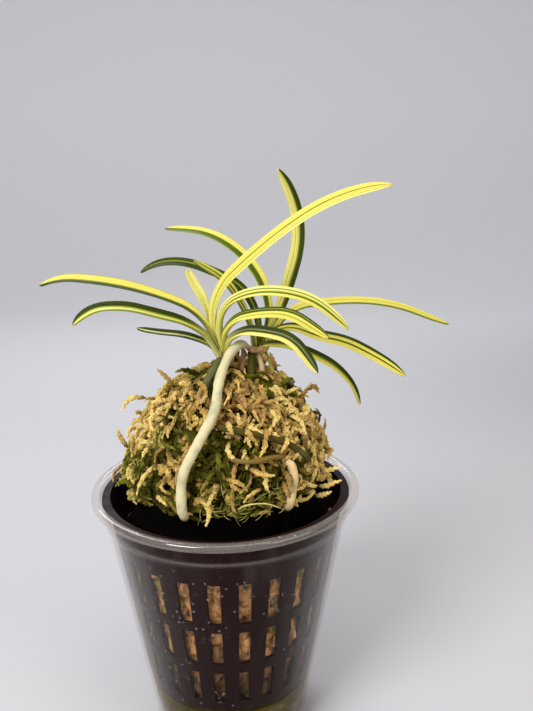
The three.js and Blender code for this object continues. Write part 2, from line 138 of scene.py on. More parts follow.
# For each piece of moss: how pale its tips are, and its shades from dark to pale. A shade is
# a colour of the settings, turned towards others by a share each.
MOSS_SHADES = {
    "straw": (0.5, (("straw", "soil_and_shade", 0.7), ("straw", "rust", 0.5, "soil_and_shade", 0.3),
                    ("straw", "rust", 0.15), ("straw", "cream", 0.4), ("cream",))),
    "rust": (0.3, (("rust", "soil_and_shade", 0.5), ("rust", "straw", 0.2), ("rust",),
                   ("rust", "straw", 0.5), ("rust", "cream", 0.5))),
    "green": (0.3, (("olive", "soil_and_shade", 0.3), ("olive",), ("green",), ("green", "cream", 0.25),
                    ("green", "cream", 0.5))),
    "olive": (0.15, (("olive", "soil_and_shade", 0.6), ("olive", "soil_and_shade", 0.2), ("olive",),
                     ("olive", "green", 0.5), ("olive", "straw", 0.6))),
}
CURL_SHADES = (("green", "olive", 0.3), ("green",), ("green", "cream", 0.4), ("cream",))
CURL_RADIUS = 0.00013
CURL_DEGREES = (-104, -58)  # the stretch of the rim that has curls
CURL_SHARES = (0.24, 0.35)  # and how far up the mound they lie
CURL_REACH = (0.0024, 0.005)
# One long thread over the rim, as steps from its start.
LONG_THREAD = ((0, 0, 0), (0.003, -0.003, 0.003), (0.009, -0.0035, 0.0035), (0.0145, -0.0015, 0.0005))
LONG_THREAD_RADIUS = 0.00026
BARK_SHADES = ((0, ("bark", "soil_and_shade", 0.6)), (0.35, ("bark", "soil_and_shade", 0.15)), (0.62, ("bark",)),
               (0.88, ("bark", "cream", 0.45)), (1, ("bark", "green", 0.75)))
CHIP_HEIGHTS = (0.028, 0.079)
CHIP_GAP = 0.0004           # between the chips and the basket's wall
CHIP_SQUARE = 0.75          # lower is squarer
# Where the moss changes: centre, radius and kind.
MOSS_PATCHES = [
    ((-0.0162, -0.0271, 0.1219), 0.0085, "rust"),
    ((0.004, -0.0262, 0.1305), 0.0095, "rust"),
    ((0.012, -0.024, 0.1295), 0.006, "rust"),
    ((-0.008, -0.0123, 0.1377), 0.009, "rust"),
    ((0.0046, -0.0382, 0.0975), 0.007, "rust"),
    ((-0.0332, -0.0176, 0.1045), 0.012, "green"),
    ((-0.0232, -0.0215, 0.1215), 0.005, "green"),
    ((0.0079, -0.0376, 0.101), 0.011, "green"),
    ((-0.002, -0.0372, 0.106), 0.013, "olive"),
    ((0.014, -0.035, 0.106), 0.011, "olive"),
    ((0.006, -0.034, 0.115), 0.011, "olive"),
    ((0.0124, -0.0341, 0.1132), 0.012, "olive"),
    ((0.002, -0.034, 0.108), 0.009, "olive"),
    ((-0.0249, -0.0241, 0.1151), 0.005, "olive"),
    ((-0.024, -0.03, 0.104), 0.007, "olive"),
    ((0.0267, -0.0224, 0.1185), 0.015, "cream"),
    ((0.0321, -0.0208, 0.1068), 0.015, "cream"),
    ((0.022, -0.0193, 0.1282), 0.01, "cream"),
    ((-0.0294, -0.0084, 0.1228), 0.012, "cream"),
    ((0.0241, -0.0301, 0.0987), 0.008, "cream"),
]
# Sprigs that stand out from the rest: kind and path.
LONG_SPRIGS = [
    ("cream", ((-0.0265, -0.009, 0.1309), (-0.0312, -0.01, 0.1316),
               (-0.0338, -0.0112, 0.13), (-0.0349, -0.012, 0.1272))),
    ("rust", ((-0.017, -0.0055, 0.133), (-0.0195, -0.0065, 0.1372),
              (-0.0214, -0.0075, 0.1395), (-0.0227, -0.008, 0.1409))),
    ("cream", ((-0.0335, -0.0135, 0.1145), (-0.0352, -0.0145, 0.1182),
               (-0.0358, -0.0155, 0.1205), (-0.0363, -0.016, 0.1228))),
    ("straw", ((0.0262, -0.0075, 0.1285), (0.029, -0.0085, 0.1318),
               (0.0302, -0.009, 0.1335), (0.0307, -0.0092, 0.135))),
    ("straw", ((0.029, -0.0085, 0.1318), (0.0312, -0.0092, 0.1334),
               (0.0324, -0.0096, 0.1326), (0.0331, -0.01, 0.1308))),
    ("cream", ((0.032, -0.017, 0.105), (0.035, -0.019, 0.1058),
               (0.0372, -0.0208, 0.1072), (0.0391, -0.022, 0.1081))),
    ("cream", ((0.0312, -0.019, 0.1002), (0.0345, -0.0215, 0.1012),
               (0.037, -0.0228, 0.103), (0.0392, -0.0238, 0.104))),
    ("cream", ((0.03, -0.021, 0.0975), (0.0322, -0.023, 0.0985),
               (0.034, -0.0246, 0.0998), (0.0354, -0.0258, 0.101))),
    ("rust", ((0.0188, -0.0036, 0.1375), (0.0178, -0.0048, 0.1412),
              (0.017, -0.0055, 0.1434), (0.0164, -0.006, 0.1453))),
    ("cream", ((0.0062, -0.0272, 0.1262), (0.0085, -0.0306, 0.1264),
               (0.0104, -0.0322, 0.1258), (0.0122, -0.033, 0.1252))),
    ("cream", ((0.0062, -0.0272, 0.1262), (0.0066, -0.031, 0.1246),
               (0.0074, -0.0328, 0.1226), (0.008, -0.0336, 0.1208))),
    ("cream", ((0.0062, -0.0272, 0.1262), (0.0042, -0.0308, 0.1262),
               (0.0024, -0.032, 0.126), (0.0004, -0.0326, 0.1256))),
    ("cream", ((0.0062, -0.0272, 0.1262), (0.0052, -0.0306, 0.1276),
               (0.0046, -0.0312, 0.1296), (0.0042, -0.0312, 0.1318))),
    ("cream", ((-0.011, -0.033, 0.1042), (-0.007, -0.0368, 0.104),
               (-0.0056, -0.0392, 0.101), (-0.007, -0.0404, 0.0975))),
    ("cream", ((-0.002, -0.034, 0.108), (-0.004, -0.0368, 0.1072),
               (-0.0056, -0.038, 0.105), (-0.006, -0.0384, 0.1022))),
    ("cream", ((0.002, -0.03, 0.122), (0.0006, -0.0336, 0.121),
               (0.0018, -0.035, 0.1184), (0.0042, -0.0354, 0.1166))),
    ("cream", ((0.011, -0.028, 0.1222), (0.0128, -0.0312, 0.1218),
               (0.0122, -0.033, 0.1196), (0.0106, -0.034, 0.1176))),
    ("rust", ((0.003, -0.031, 0.115), (0.0028, -0.0345, 0.1146),
              (0.0022, -0.0356, 0.1126), (0.0026, -0.0362, 0.1104))),
    ("cream", ((0.0118, -0.031, 0.112), (0.0126, -0.0348, 0.1116),
               (0.0124, -0.0364, 0.1088), (0.0136, -0.0368, 0.1064))),
    ("olive", ((0.0035, -0.001, 0.1401), (0.0046, -0.002, 0.1425),
               (0.0054, -0.002, 0.1443), (0.0058, -0.001, 0.1455))),
    ("rust", ((0.0071, -0.001, 0.1392), (0.006, -0.003, 0.142),
              (0.005, -0.003, 0.1434), (0.0043, -0.002, 0.1447))),
    ("straw", ((0.0138, -0.002, 0.1393), (0.0152, -0.003, 0.1421),
               (0.0145, -0.003, 0.1435), (0.0139, -0.002, 0.1444))),
    ("straw", ((0.0007, -0.031, 0.1291), (0.0013, -0.0344, 0.1286),
               (0.0019, -0.035, 0.1272), (0.0025, -0.0342, 0.1255))),
    ("straw", ((0.0125, -0.031, 0.1263), (0.0132, -0.0344, 0.1259),
               (0.0128, -0.035, 0.1241), (0.0122, -0.0345, 0.1223))),
    ("cream", ((0.0198, -0.028, 0.1223), (0.0198, -0.032, 0.1217),
               (0.0187, -0.033, 0.1201), (0.0178, -0.0324, 0.1185))),
    ("rust", ((0.0064, -0.031, 0.1266), (0.0072, -0.0346, 0.1262),
              (0.0084, -0.0352, 0.1247), (0.0097, -0.0346, 0.1231))),
    ("straw", ((0.0249, -0.024, 0.1171), (0.024, -0.0282, 0.117),
               (0.0229, -0.0296, 0.1158), (0.0219, -0.0294, 0.1144))),
    ("cream", ((-0.0225, -0.024, 0.113), (-0.0246, -0.0282, 0.1124),
               (-0.0276, -0.03, 0.1094), (-0.0292, -0.0306, 0.1046))),
    ("straw", ((0.0189, -0.0315, 0.1119), (0.0195, -0.0354, 0.1115),
               (0.0201, -0.0372, 0.1095), (0.0202, -0.037, 0.1066))),
    ("rust", ((0.0183, -0.0315, 0.1081), (0.0187, -0.0356, 0.1078),
              (0.0192, -0.037, 0.1063), (0.0197, -0.0366, 0.1044))),
    ("rust", ((-0.009, -0.0205, 0.1397), (-0.0073, -0.024, 0.1396),
              (-0.006, -0.025, 0.1382), (-0.0055, -0.0246, 0.136))),
    ("straw", ((-0.0058, -0.0205, 0.1386), (-0.007, -0.024, 0.1383),
               (-0.008, -0.025, 0.1369), (-0.0087, -0.0245, 0.1347))),
    ("rust", ((-0.0071, -0.021, 0.1364), (-0.0061, -0.0242, 0.1359),
              (-0.0068, -0.025, 0.1345), (-0.0078, -0.0244, 0.133))),
]

# ---- sizes of the leaves ----
# For each leaf: start, length, width, heading at start and tip (degrees), climb at even
# steps (degrees), roll (degrees), and its stripes from the far edge (0) to the near edge (1).
YELLOW, PALE, LIME, GREEN, DARK, GREY = "yellow", "pale", "lime", "green", "dark", "grey"
LEAVES = {
    "leaf_a1": ((-0.0053, -0.004, 0.1562), 0.059, 0.0056, (190, 184), (55, 25, 19, 12, 5, -27), -28,
                ((0, GREEN), (0.05, LIME), (0.1, YELLOW), (0.62, YELLOW), (0.68, LIME), (0.74, GREEN),
                 (0.8, DARK), (0.96, DARK), (1, GREEN))),
    "leaf_a2": ((-0.0063, -0.0065, 0.1533), 0.048, 0.006, (200, 206), (40, 19, 19, -1, -52), -30,
                ((0, DARK), (0.42, DARK), (0.5, GREEN), (0.56, LIME), (0.66, YELLOW), (0.8, PALE),
                 (0.88, LIME), (0.93, GREEN), (1, LIME))),
    "leaf_a3": ((-0.0051, -0.0022, 0.1483), 0.026, 0.0042, (168, 172), (27, 4, 10), -24,
                ((0, DARK), (0.52, DARK), (0.58, LIME), (0.64, PALE), (0.76, PALE),
                 (0.82, DARK), (1, DARK))),
    "leaf_a4": ((-0.0048, -0.0012, 0.1596), 0.016, 0.0042, (160, 165), (75, 57, 68), -40,
                ((0, YELLOW), (0.45, PALE), (0.5, LIME), (0.55, PALE), (1, YELLOW))),
    "leaf_a5": ((-0.0032, -0.004, 0.1597), 0.077, 0.0068, (-8, -14), (81, 43, 39, 32, 19, 2), 42,
                ((0, YELLOW), (0.4, YELLOW), (0.45, GREEN), (0.49, LIME), (0.53, YELLOW),
                 (0.8, YELLOW), (0.85, LIME), (0.9, YELLOW), (1, PALE))),
    "leaf_a6": ((-0.0012, -0.0069, 0.1574), 0.053, 0.0056, (-14, -14), (78, 24, 2, -14, -37, -48), 34,
                ((0, YELLOW), (0.26, PALE), (0.31, GREEN), (0.37, LIME), (0.43, PALE), (0.5, YELLOW),
                 (0.62, LIME), (0.67, GREEN), (0.76, GREEN), (0.81, YELLOW), (1, YELLOW))),
    "leaf_a7": ((0.0002, -0.0084, 0.153), 0.042, 0.0056, (-20, -26), (66, 14, 3, -28, -35), 32,
                ((0, DARK), (0.16, DARK), (0.2, LIME), (0.28, GREEN), (0.42, DARK), (0.47, YELLOW),
                 (0.66, YELLOW), (0.72, LIME), (0.8, YELLOW), (1, YELLOW))),
    "leaf_a8": ((0.0022, -0.0102, 0.1517), 0.038, 0.0058, (-26, -32), (40, 1, -9, -48, -55), 30,
                ((0, DARK), (0.34, DARK), (0.4, GREY), (0.5, GREY), (0.56, DARK), (0.68, DARK),
                 (0.73, YELLOW), (0.9, PALE), (1, YELLOW))),
    "leaf_b1": ((0.019, 0.0094, 0.1525), 0.059, 0.0054, (25, 25), (61, 69, 72, 91, 113, 130), 68,
                ((0, YELLOW), (0.34, PALE), (0.4, LIME), (0.46, PALE), (0.66, YELLOW), (0.72, LIME),
                 (0.78, DARK), (0.97, DARK), (1, LIME))),
    "leaf_b2": ((0.0172, 0.0108, 0.154), 0.06, 0.0054, (160, 156), (98, 69, 45, 27, 5, -2), -32,
                ((0, YELLOW), (0.46, YELLOW), (0.52, LIME), (0.58, GREEN), (0.9, GREEN), (1, LIME))),
    "leaf_b3": ((0.0135, 0.0076, 0.1515), 0.056, 0.0056, (170, 174), (86, 60, 26, 20, -4, -39), -32,
                ((0, DARK), (0.36, DARK), (0.42, GREEN), (0.5, LIME), (0.56, GREEN), (0.62, DARK),
                 (1, DARK))),
    "leaf_b4": ((0.0111, 0.0032, 0.1512), 0.034, 0.0048, (182, 184), (76, 65, 55, 33, 28), -32,
                ((0, LIME), (0.3, YELLOW), (0.4, LIME), (0.46, DARK), (0.54, DARK), (0.6, YELLOW),
                 (0.85, LIME), (1, GREEN))),
    "leaf_b5": ((0.0203, 0.0072, 0.1522), 0.071, 0.005, (8, 4), (58, 6, 0, -11, -23, -21), 30,
                ((0, YELLOW), (0.35, YELLOW), (0.4, LIME), (0.46, YELLOW), (0.78, YELLOW),
                 (0.84, GREEN), (0.96, GREEN), (1, LIME))),
    "leaf_b6": ((0.02, 0.0036, 0.1515), 0.05, 0.0062, (-10, -14), (21, -23, -10, -26, -30, -40), 34,
                ((0, DARK), (0.24, DARK), (0.3, LIME), (0.36, YELLOW), (0.52, YELLOW), (0.58, GREEN),
                 (0.68, GREEN), (0.73, YELLOW), (1, YELLOW))),
    "leaf_b7": ((0.0152, 0.0008, 0.1467), 0.045, 0.0052, (-2, -6), (7, -20, -29, -51, -81), 30,
                ((0, GREEN), (0.1, DARK), (0.5, DARK), (0.56, LIME), (0.66, LIME), (0.72, YELLOW),
                 (1, YELLOW))),
}
# For each fan: its foot, the solid of its stem, and how much its leaves pale at the foot.
FANS = {
    "a": {"foot": (0.0016, -0.0044, 0.1422), "stem": "stem_a", "bright": 0.5},
    "b": {"foot": (0.0122, 0.0034, 0.1396), "stem": "stem_b", "bright": 0.12},
}
FOOT_SPREAD = (0.14, 0.3, 0)    # how far a leaf's foot moves from its fan's towards its start
SHEATH_ROWS = 14
SHEATH_BEND = 0.4           # where the sheath turns into the blade, as a share of its length
SHEATH_FOOT = 0.55          # width at the foot of the fan, as a share
BLADE_ROWS = 50
BLADE_CROWDING = 1.2        # rows crowd towards the tip above 1
BLADE_STEPS = 4             # steps of the path between two rows
BLADE_START = 0.7           # width at the start, as a share
BLADE_FULL_AT = 0.35        # share of the blade where it reaches its full width
BLADE_TAPER_FROM = 0.5
BLADE_TAPER_TO = 0.6
BLADE_TIP_FROM = 0.86
LEAF_SIDES = 24
FAR_HALF = 0.66             # the far half of a folded blade takes this share of its stripes
BLADE = "blade"             # the UV layer of the leaves: across the stripes and along the leaf
LEAF_FOOT = (0.34, 0.14)    # the stripes fade towards the foot between these shares of a leaf
# Dry sheaths at the foot of each fan: root and tip.
DRY_SHEATHS = {
    "a": (((0.0012, -0.007, 0.142), (-0.001, -0.0088, 0.1475)),
          ((0.0022, -0.0074, 0.1418), (0.0036, -0.0094, 0.1468)),
          ((0.0016, -0.0078, 0.1422), (0.001, -0.0102, 0.1462))),
    "b": (((0.0086, -0.001, 0.1425), (0.0066, -0.0028, 0.147)),
          ((0.01, -0.0016, 0.1424), (0.0112, -0.004, 0.1472)),
          ((0.0112, 0, 0.142), (0.014, -0.002, 0.1464))),
}
# A swollen ring across the front of the second crown.
NODE_RING = ((0.0102, 0.0024, 0.1452), (0.0092, -0.0012, 0.1457), (0.0102, -0.0038, 0.1458),
             (0.012, -0.0042, 0.1457), (0.0136, -0.0026, 0.1457), (0.0138, 0.0006, 0.1453))
RING_RADIUS = 0.001
CROWN_SIDES = 20
CROWN_ROWS = 24
CROWN_RADIUS = 0.0014
SCALE_SIDES = 10
SCALE_ROWS = 12
SCALE_HALF = 0.0011         # half the width of a dry sheath
SCALE_THICK = 0.00018

# ---- sizes of the roots: radius, finish and points ----
ROOTS = {
    "root_front": (0.0016, "pale_root", ((0.0099, -0.0004, 0.1449), (0.0086, -0.003, 0.1468),
        (0.0062, -0.0068, 0.1486),
        (0.0032, -0.0098, 0.1469), (0.001, -0.0122, 0.1439), (-0.0015, -0.021, 0.1392),
        (-0.0033, -0.029, 0.1316), (-0.0086, -0.0342, 0.123), (-0.0136, -0.0364, 0.1135),
        (-0.0144, -0.0376, 0.104), (-0.0138, -0.0362, 0.0995), (-0.0134, -0.0305, 0.0955),
        (-0.0126, -0.0275, 0.086))),
    "root_left": (0.0015, "grey_root", ((-0.0007, -0.0082, 0.1444), (-0.0022, -0.0114, 0.142),
        (-0.0036, -0.0146, 0.1406), (-0.0058, -0.0184, 0.138), (-0.0072, -0.021, 0.1335))),
    "root_right": (0.0013, "pale_root", ((0.0186, -0.0284, 0.1136), (0.0211, -0.0322, 0.114),
        (0.022, -0.0336, 0.1099), (0.0212, -0.0348, 0.1055), (0.0202, -0.0346, 0.101),
        (0.0195, -0.029, 0.0965), (0.0188, -0.0265, 0.088))),
    "root_tan": (0.001, "old_root", ((0.0074, -0.0008, 0.1448), (0.0072, -0.0034, 0.1436),
        (0.0066, -0.0052, 0.1418), (0.0061, -0.006, 0.1386))),
    "root_olive": (0.0014, "old_root", ((0.0102, -0.0006, 0.1444), (0.01, -0.004, 0.1428),
        (0.0099, -0.0058, 0.1406), (0.01, -0.0066, 0.1372))),
    "root_pink": (0.0009, "pale_root", ((0.0126, 0.0002, 0.1442), (0.013, -0.0034, 0.1426),
        (0.0135, -0.0052, 0.1406), (0.0139, -0.006, 0.1374))),
    "root_small": (0.0008, "pale_root", ((0.015, 0.0012, 0.1436), (0.016, -0.0018, 0.1422),
        (0.017, -0.0038, 0.1402), (0.0176, -0.0048, 0.137))),
    "root_old": (0.0011, "old_root", ((-0.0034, -0.0276, 0.1262), (0.0004, -0.032, 0.127),
        (0.0064, -0.0326, 0.1256), (0.0118, -0.0322, 0.1242), (0.02, -0.03, 0.1204),
        (0.0264, -0.0272, 0.1148), (0.0274, -0.024, 0.111))),
}
# Roots with a colour of their own. The left root's is also darkened as painted shade, since it lies in shade
# under the leaves.
ROOT_TINTS = {"root_left": (98, 102, 62), "root_right": (228, 200, 146), "root_pink": (214, 184, 146),
              "root_small": (158, 150, 74), "root_old": (84, 74, 26), "root_tan": (184, 150, 100),
              "root_olive": (84, 80, 34)}
TWIG = ((0.0006, -0.0338, 0.1178), (0.0044, -0.0362, 0.1174), (0.0096, -0.0362, 0.1172),
        (0.0146, -0.0344, 0.1176), (0.0196, -0.031, 0.1162))
TWIG_RADIUS = 0.0008
ROOT_SHADE = (0.0995, 0.0965)   # painted shade: a root goes near black between these heights, into the basket's shaded gap

# ---- sizes of the studio ----
CAMERA_PLACE = Vector((0, -0.2426, 0.20205))
CAMERA_WAY = Vector((0.0623, 0.9694, -0.2375))
CAMERA_ROLL = -0.0131
CAMERA_NEAR = 0.01
LIGHTS = {      # place, size, setting and colour
    "key": ((-0.42, -0.5, 0.62), 0.34, "key_watts", (1, 0.985, 0.95)),
    "fill": ((0.5, -0.4, 0.42), 0.5, "fill_watts", (1, 0.9, 0.76)),
    "top": ((0.02, -0.12, 0.8), 0.45, "top_watts", (1, 0.97, 0.94)),
    "rim": ((-0.15, 0.5, 0.6), 0.4, "rim_watts", (0.95, 0.97, 1)),
}
LIGHTS_AIM = Vector((0, 0, 0.12))
SKY_TINT = (0.9, 0.93, 1, 1)
FLOOR_FRONT = -1.5
SHEET_HALF = 2              # half the backdrop's width, and its height
BEND_START = 0.85           # the floor bends up from here
BEND_RADIUS = 0.35
BEND_STEPS = 10
GLOW_FROM = (0.3, 0.85)     # the backdrop glows from here back, to stay even


def linear(red, green, blue):
    """A screen colour of 0 to 255 as the linear colour that Blender keeps."""
    shares = [value / 255 for value in (red, green, blue)]
    return tuple(s / 12.92 if s <= 0.04045 else ((s + 0.055) / 1.055) ** 2.4 for s in shares)


# Colours that no setting changes.
# The next two are painted shade: the near black of the shaded gap between the mound and the basket.
CORE_GAP_SHADE = linear(7, 5, 4)
ROOT_GAP_SHADE = linear(6, 5, 4)
DAMP_MOSS = linear(74, 76, 20)
FLECK = linear(128, 96, 52)
DEEP_WATER = linear(76, 70, 12)
SHEATH_STREAK = linear(86, 58, 34)
RING_PINK = linear(232, 184, 144)
TWIG_BROWN = linear(128, 104, 48)
GLASS_TINT = (0.93, 0.91, 0.905)
SHINE_TINT = (0.94, 0.91, 0.88)


def colour(name, description, *screen):
    return FloatVectorProperty(name=name, description=description, subtype="COLOR", size=3,
                               min=0, max=1, default=linear(*screen))


def size(name, description, default):
    return FloatProperty(name=name, description=description, default=default, min=0,
                         unit="LENGTH", precision=4)


def number(name, description, default):
    return IntProperty(name=name, description=description, default=default, min=0)


def amount(name, description, default):
    return FloatProperty(name=name, description=description, default=default, min=0)


# ---- settings ----
class PotSettings(bpy.types.PropertyGroup):
    """Sizes and colours of the cup, the basket and the water."""
    lip_radius: size("Lip radius", "Outside of the cup's rolled lip", 0.049)
    slot_bevel: size("Slot edge", "Rounding of the basket's edges", 0.0002)
    water_top: size("Water level", "Height of the water above the table", 0.019)
    cup_colour: colour("Cup", "Tint of the clear cup", 232, 222, 212)
    basket_colour: colour("Basket", "Moulded basket", 38, 19, 19)
    dust_colour: colour("Dust", "Dust and lime on the basket", 120, 104, 96)
    water_colour: colour("Water", "Water at the bottom", 104, 88, 10)


class MossSettings(bpy.types.PropertyGroup):
    """Number, sizes and colours of the moss sprigs."""
    sprigs: number("Sprigs", "Sprigs that cover the mound", 3700)
    chips: number("Chips", "Bark chips behind the basket's slots", 620)
    curls: number("Curls", "Fine fresh threads near the rim", 90)
    seed: number("Seed", "Chooses another arrangement", 5)
    sprig_length: size("Sprig length", "Usual length of a sprig", 0.0064)
    sprig_width: size("Sprig width", "Usual width of a sprig", 0.0018)
    straw: colour("Straw", "Dry moss", 220, 184, 96)
    cream: colour("Cream", "Palest moss", 248, 220, 140)
    rust: colour("Rust", "Orange-brown moss", 180, 138, 82)
    green: colour("Green", "Fresh moss", 116, 124, 26)
    olive: colour("Olive", "Shaded moss", 80, 74, 10)
    # This dark stands for damp moss deep in the mound, and also for painted shade at the sprigs' feet, in
    # their lower layer and down the fill.
    soil_and_shade: colour("Soil", "Deep in the mound", 14, 11, 2)
    bark: colour("Bark", "Chips in the basket", 236, 178, 114)


class LeafSettings(bpy.types.PropertyGroup):
    """Section and colours of the leaves."""
    thickness: size("Thickness", "Thickness along the middle of a blade", 0.0011)
    fold: FloatProperty(name="Fold", description="Angle of each half of a blade", subtype="ANGLE",
                        default=math.radians(28))
    yellow: colour("Yellow", "Wide stripes", 236, 224, 104)
    pale: colour("Pale yellow", "Palest stripes", 250, 243, 156)
    lime: colour("Lime", "Between yellow and green", 150, 160, 48)
    green: colour("Green", "Thin stripes", 76, 98, 12)
    dark: colour("Dark green", "Wide green stripes", 30, 46, 8)
    grey: colour("Grey green", "Bloom on the darkest leaf", 112, 120, 84)
    papery: colour("Papery", "Dry sheaths at the foot", 178, 140, 92)


class RootSettings(bpy.types.PropertyGroup):
    """Colours and unevenness of the roots."""
    swell: amount("Swell", "Unevenness of a root's thickness", 0.07)
    pale_root: colour("Pale root", "Velvety living root", 224, 215, 172)
    grey_root: colour("Grey root", "Root in the shade", 122, 134, 104)
    old_root: colour("Old root", "Dry root", 88, 80, 40)


class StudioSettings(bpy.types.PropertyGroup):
    """Lights, backdrop and camera."""
    key_watts: amount("Key light", "Power of the large left light", 5.6)
    fill_watts: amount("Fill light", "Power of the right light", 1.5)
    rim_watts: amount("Rim light", "Power of the back light", 2.5)
    top_watts: amount("Top light", "Power of the light overhead", 1.3)
    sky: amount("Surroundings", "Brightness of the surroundings", 0.2)
    glow: amount("Glow", "Brightness of the backdrop's own", 0.43)
    backdrop: colour("Backdrop", "Floor and wall", 200, 200, 204)
    lens: FloatProperty(name="Lens", description="Focal length", default=35.44, unit="CAMERA")


SETTINGS = {"orchid_pot": PotSettings, "orchid_moss": MossSettings, "orchid_leaf": LeafSettings,
            "orchid_root": RootSettings, "orchid_studio": StudioSettings}


# ---- shading ----
class Shade:
    """A value or colour in a material. Python's operators on it add Math nodes."""

    def __init__(self, tree, socket=None):
        self.tree = tree
        self.socket = socket

    def node(self, kind, settings=None, inputs=None, output=0):
        """Adds a node, with its settings first and then its sockets' values or links."""
        node = self.tree.nodes.new(kind)
        for name, value in (settings or {}).items():
            if name == "stops":
                set_stops(node.color_ramp.elements, value)
            else:
                setattr(node, name, value)
        for name, value in (inputs or {}).items():
            if isinstance(value, Shade):
                self.tree.links.new(value.socket, node.inputs[name])
            else:
                node.inputs[name].default_value = value
        return Shade(self.tree, node.outputs[output] if node.outputs else None)

    def maths(self, operation, *values):
        return self.node("ShaderNodeMath", {"operation": operation}, dict(enumerate(values)))

    def __add__(self, other):
        return self.maths("ADD", self, other)

    __radd__ = __add__

    def __sub__(self, other):
        return self.maths("SUBTRACT", self, other)

    def __rsub__(self, other):
        return self.maths("SUBTRACT", other, self)

    def __mul__(self, other):
        return self.maths("MULTIPLY", self, other)

    __rmul__ = __mul__


def set_stops(elements, stops):
    """Gives a ramp its stops, as place and colour."""
    while len(elements) < len(stops):
        elements.new(0.5)
    for element, (place, stop) in zip(elements, stops):
        element.position = place
        element.color = rgba(stop)


def rgba(value):
    return (*value[:3], 1)


def new_material(name):
    """A material with an empty node tree, and the Shade that adds nodes to it."""
    material = bpy.data.materials.new(name)
    material.use_nodes = True
    material.node_tree.nodes.clear()
    return material, Shade(material.node_tree)


def surface(graph, inputs):
    """The Principled shader of a material."""
    return graph.node("ShaderNodeBsdfPrincipled", None, inputs)


def output(graph, shader):
    graph.node("ShaderNodeOutputMaterial", None, {"Surface": shader})


def mix(graph, first, second, share):
    """A colour between two others, by a share of 0 to 1."""
    first, second = [value if isinstance(value, Shade) else rgba(value) for value in (first, second)]
    return graph.node("ShaderNodeMix", {"data_type": "RGBA"}, {0: share, 6: first, 7: second}, 2)


def mix_shaders(graph, first, second, share):
    return graph.node("ShaderNodeMixShader", None, {0: share, 1: first, 2: second})


def ramp(graph, share, stops):
    return graph.node("ShaderNodeValToRGB", {"stops": stops}, {"Fac": share})


def level(graph, share, low, high):
    """0 below low, 1 above high, and even between them."""
    return graph.node("ShaderNodeMapRange", {"interpolation_type": "SMOOTHSTEP"},
                      {"Value": share, "From Min": low, "From Max": high})


def grain(graph, vector, scale, detail=3.0):
    """Noise of 0 to 1 at a scale."""
    return graph.node("ShaderNodeTexNoise", None, {"Vector": vector, "Scale": scale, "Detail": detail})


def own_place(graph):
    return graph.node("ShaderNodeTexCoord", None, None, "Object")


def own_axis(graph, axis):
    """The place along one axis of the object."""
    return graph.node("ShaderNodeSeparateXYZ", None, {"Vector": own_place(graph)}, axis)


def upright(graph, share):
    """The object's places with their heights cut to a share, so that noise runs up and down."""
    return graph.node("ShaderNodeMapping", None, {"Vector": own_place(graph), "Scale": (1, 1, share)})


def own_marks(graph, layer):
    """The two marks that a piece keeps in its UV layer."""
    split = graph.node("ShaderNodeSeparateXYZ", None,
                       {"Vector": graph.node("ShaderNodeUVMap", {"uv_map": layer})})
    outputs = split.socket.node.outputs
    return Shade(graph.tree, outputs[0]), Shade(graph.tree, outputs[1])


def joined(graph, x, y, z):
    return graph.node("ShaderNodeCombineXYZ", None, {"X": x, "Y": y, "Z": z})


def bump(graph, height, distance, strength=1.0):
    return graph.node("ShaderNodeBump", None,
                      {"Height": height, "Distance": distance, "Strength": strength})


def blended(settings, first, *steps):
    """A colour of the settings, turned towards others in turn by a share each."""
    shade = Vector(getattr(settings, first))
    for other, share in zip(steps[::2], steps[1::2]):
        shade = shade.lerp(Vector(getattr(settings, other)), share)
    return shade


# ---- mesh helpers ----
def as_mesh(name, bm):
    """Makes a bmesh a mesh, and frees it."""
    mesh = bpy.data.meshes.new(name)
    bm.to_mesh(mesh)
    bm.free()
    return mesh


def placed(name, data):
    """An object of the scene at the origin."""
    item = bpy.data.objects.new(name, data)
    bpy.context.scene.collection.objects.link(item)
    return item


def add_piece(name, bm, material, nodes=(), smooth=True):
    """Makes a bmesh a piece of the object, in place of the solids that it stands for."""
    mesh = as_mesh(name, bm)
    mesh.polygons.foreach_set("use_smooth", [smooth] * len(mesh.polygons))
    mesh.materials.append(material)
    piece = placed(name, mesh)
    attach(piece, "root")
    if nodes:
        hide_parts(*nodes)
    return piece


def outward(bm):
    bmesh.ops.recalc_face_normals(bm, faces=bm.faces[:])


def sphere_place(co):
    """How far up a unit sphere a point lies, from 0 to 1, and its turn round the sphere."""
    return math.acos(max(-1, min(1, -co.z))) / math.pi, math.atan2(co.y, co.x)


def swept(bm, sides, rows, place):
    """A closed skin along a path: a sphere's rows, put at place(share, turn).

    Gives the share and the turn of each of its vertices."""
    made = bmesh.ops.create_uvsphere(bm, u_segments=sides, v_segments=rows, radius=1)
    marks = {vertex: sphere_place(vertex.co) for vertex in made["verts"]}
    for vertex, mark in marks.items():
        vertex.co = place(*mark)
    return marks


def tube(bm, points, sides, rows, radius):
    """A round skin along a path, whose radius(share, turn, point) may change along it."""
    frames = path_frames(smooth_path(points, rows + 1))

    def place(share, turn):
        point, side, up = frames[round(share * rows)]
        return point + (side * math.cos(turn) + up * math.sin(turn)) * radius(share, turn, point)

    return swept(bm, sides, rows, place)


def stamped(bm, mesh):
    """Adds a copy of a mesh, and gives its vertices with their numbers."""
    start = len(bm.verts)
    bm.from_mesh(mesh)
    bm.verts.ensure_lookup_table()
    return [(index, bm.verts[index]) for index in range(start, len(bm.verts))]


def keep_marks(bm, layer_name, marks):
    """Keeps two numbers of each vertex in a UV layer."""
    layer = bm.loops.layers.uv.new(layer_name)
    for face in bm.faces:
        for loop in face.loops:
            loop[layer].uv = marks[loop.vert]


def line_of(bm, points):
    """The vertices of a line and its edges."""
    verts = [bm.verts.new(point) for point in points]
    return verts, [bm.edges.new(pair) for pair in zip(verts, verts[1:])]


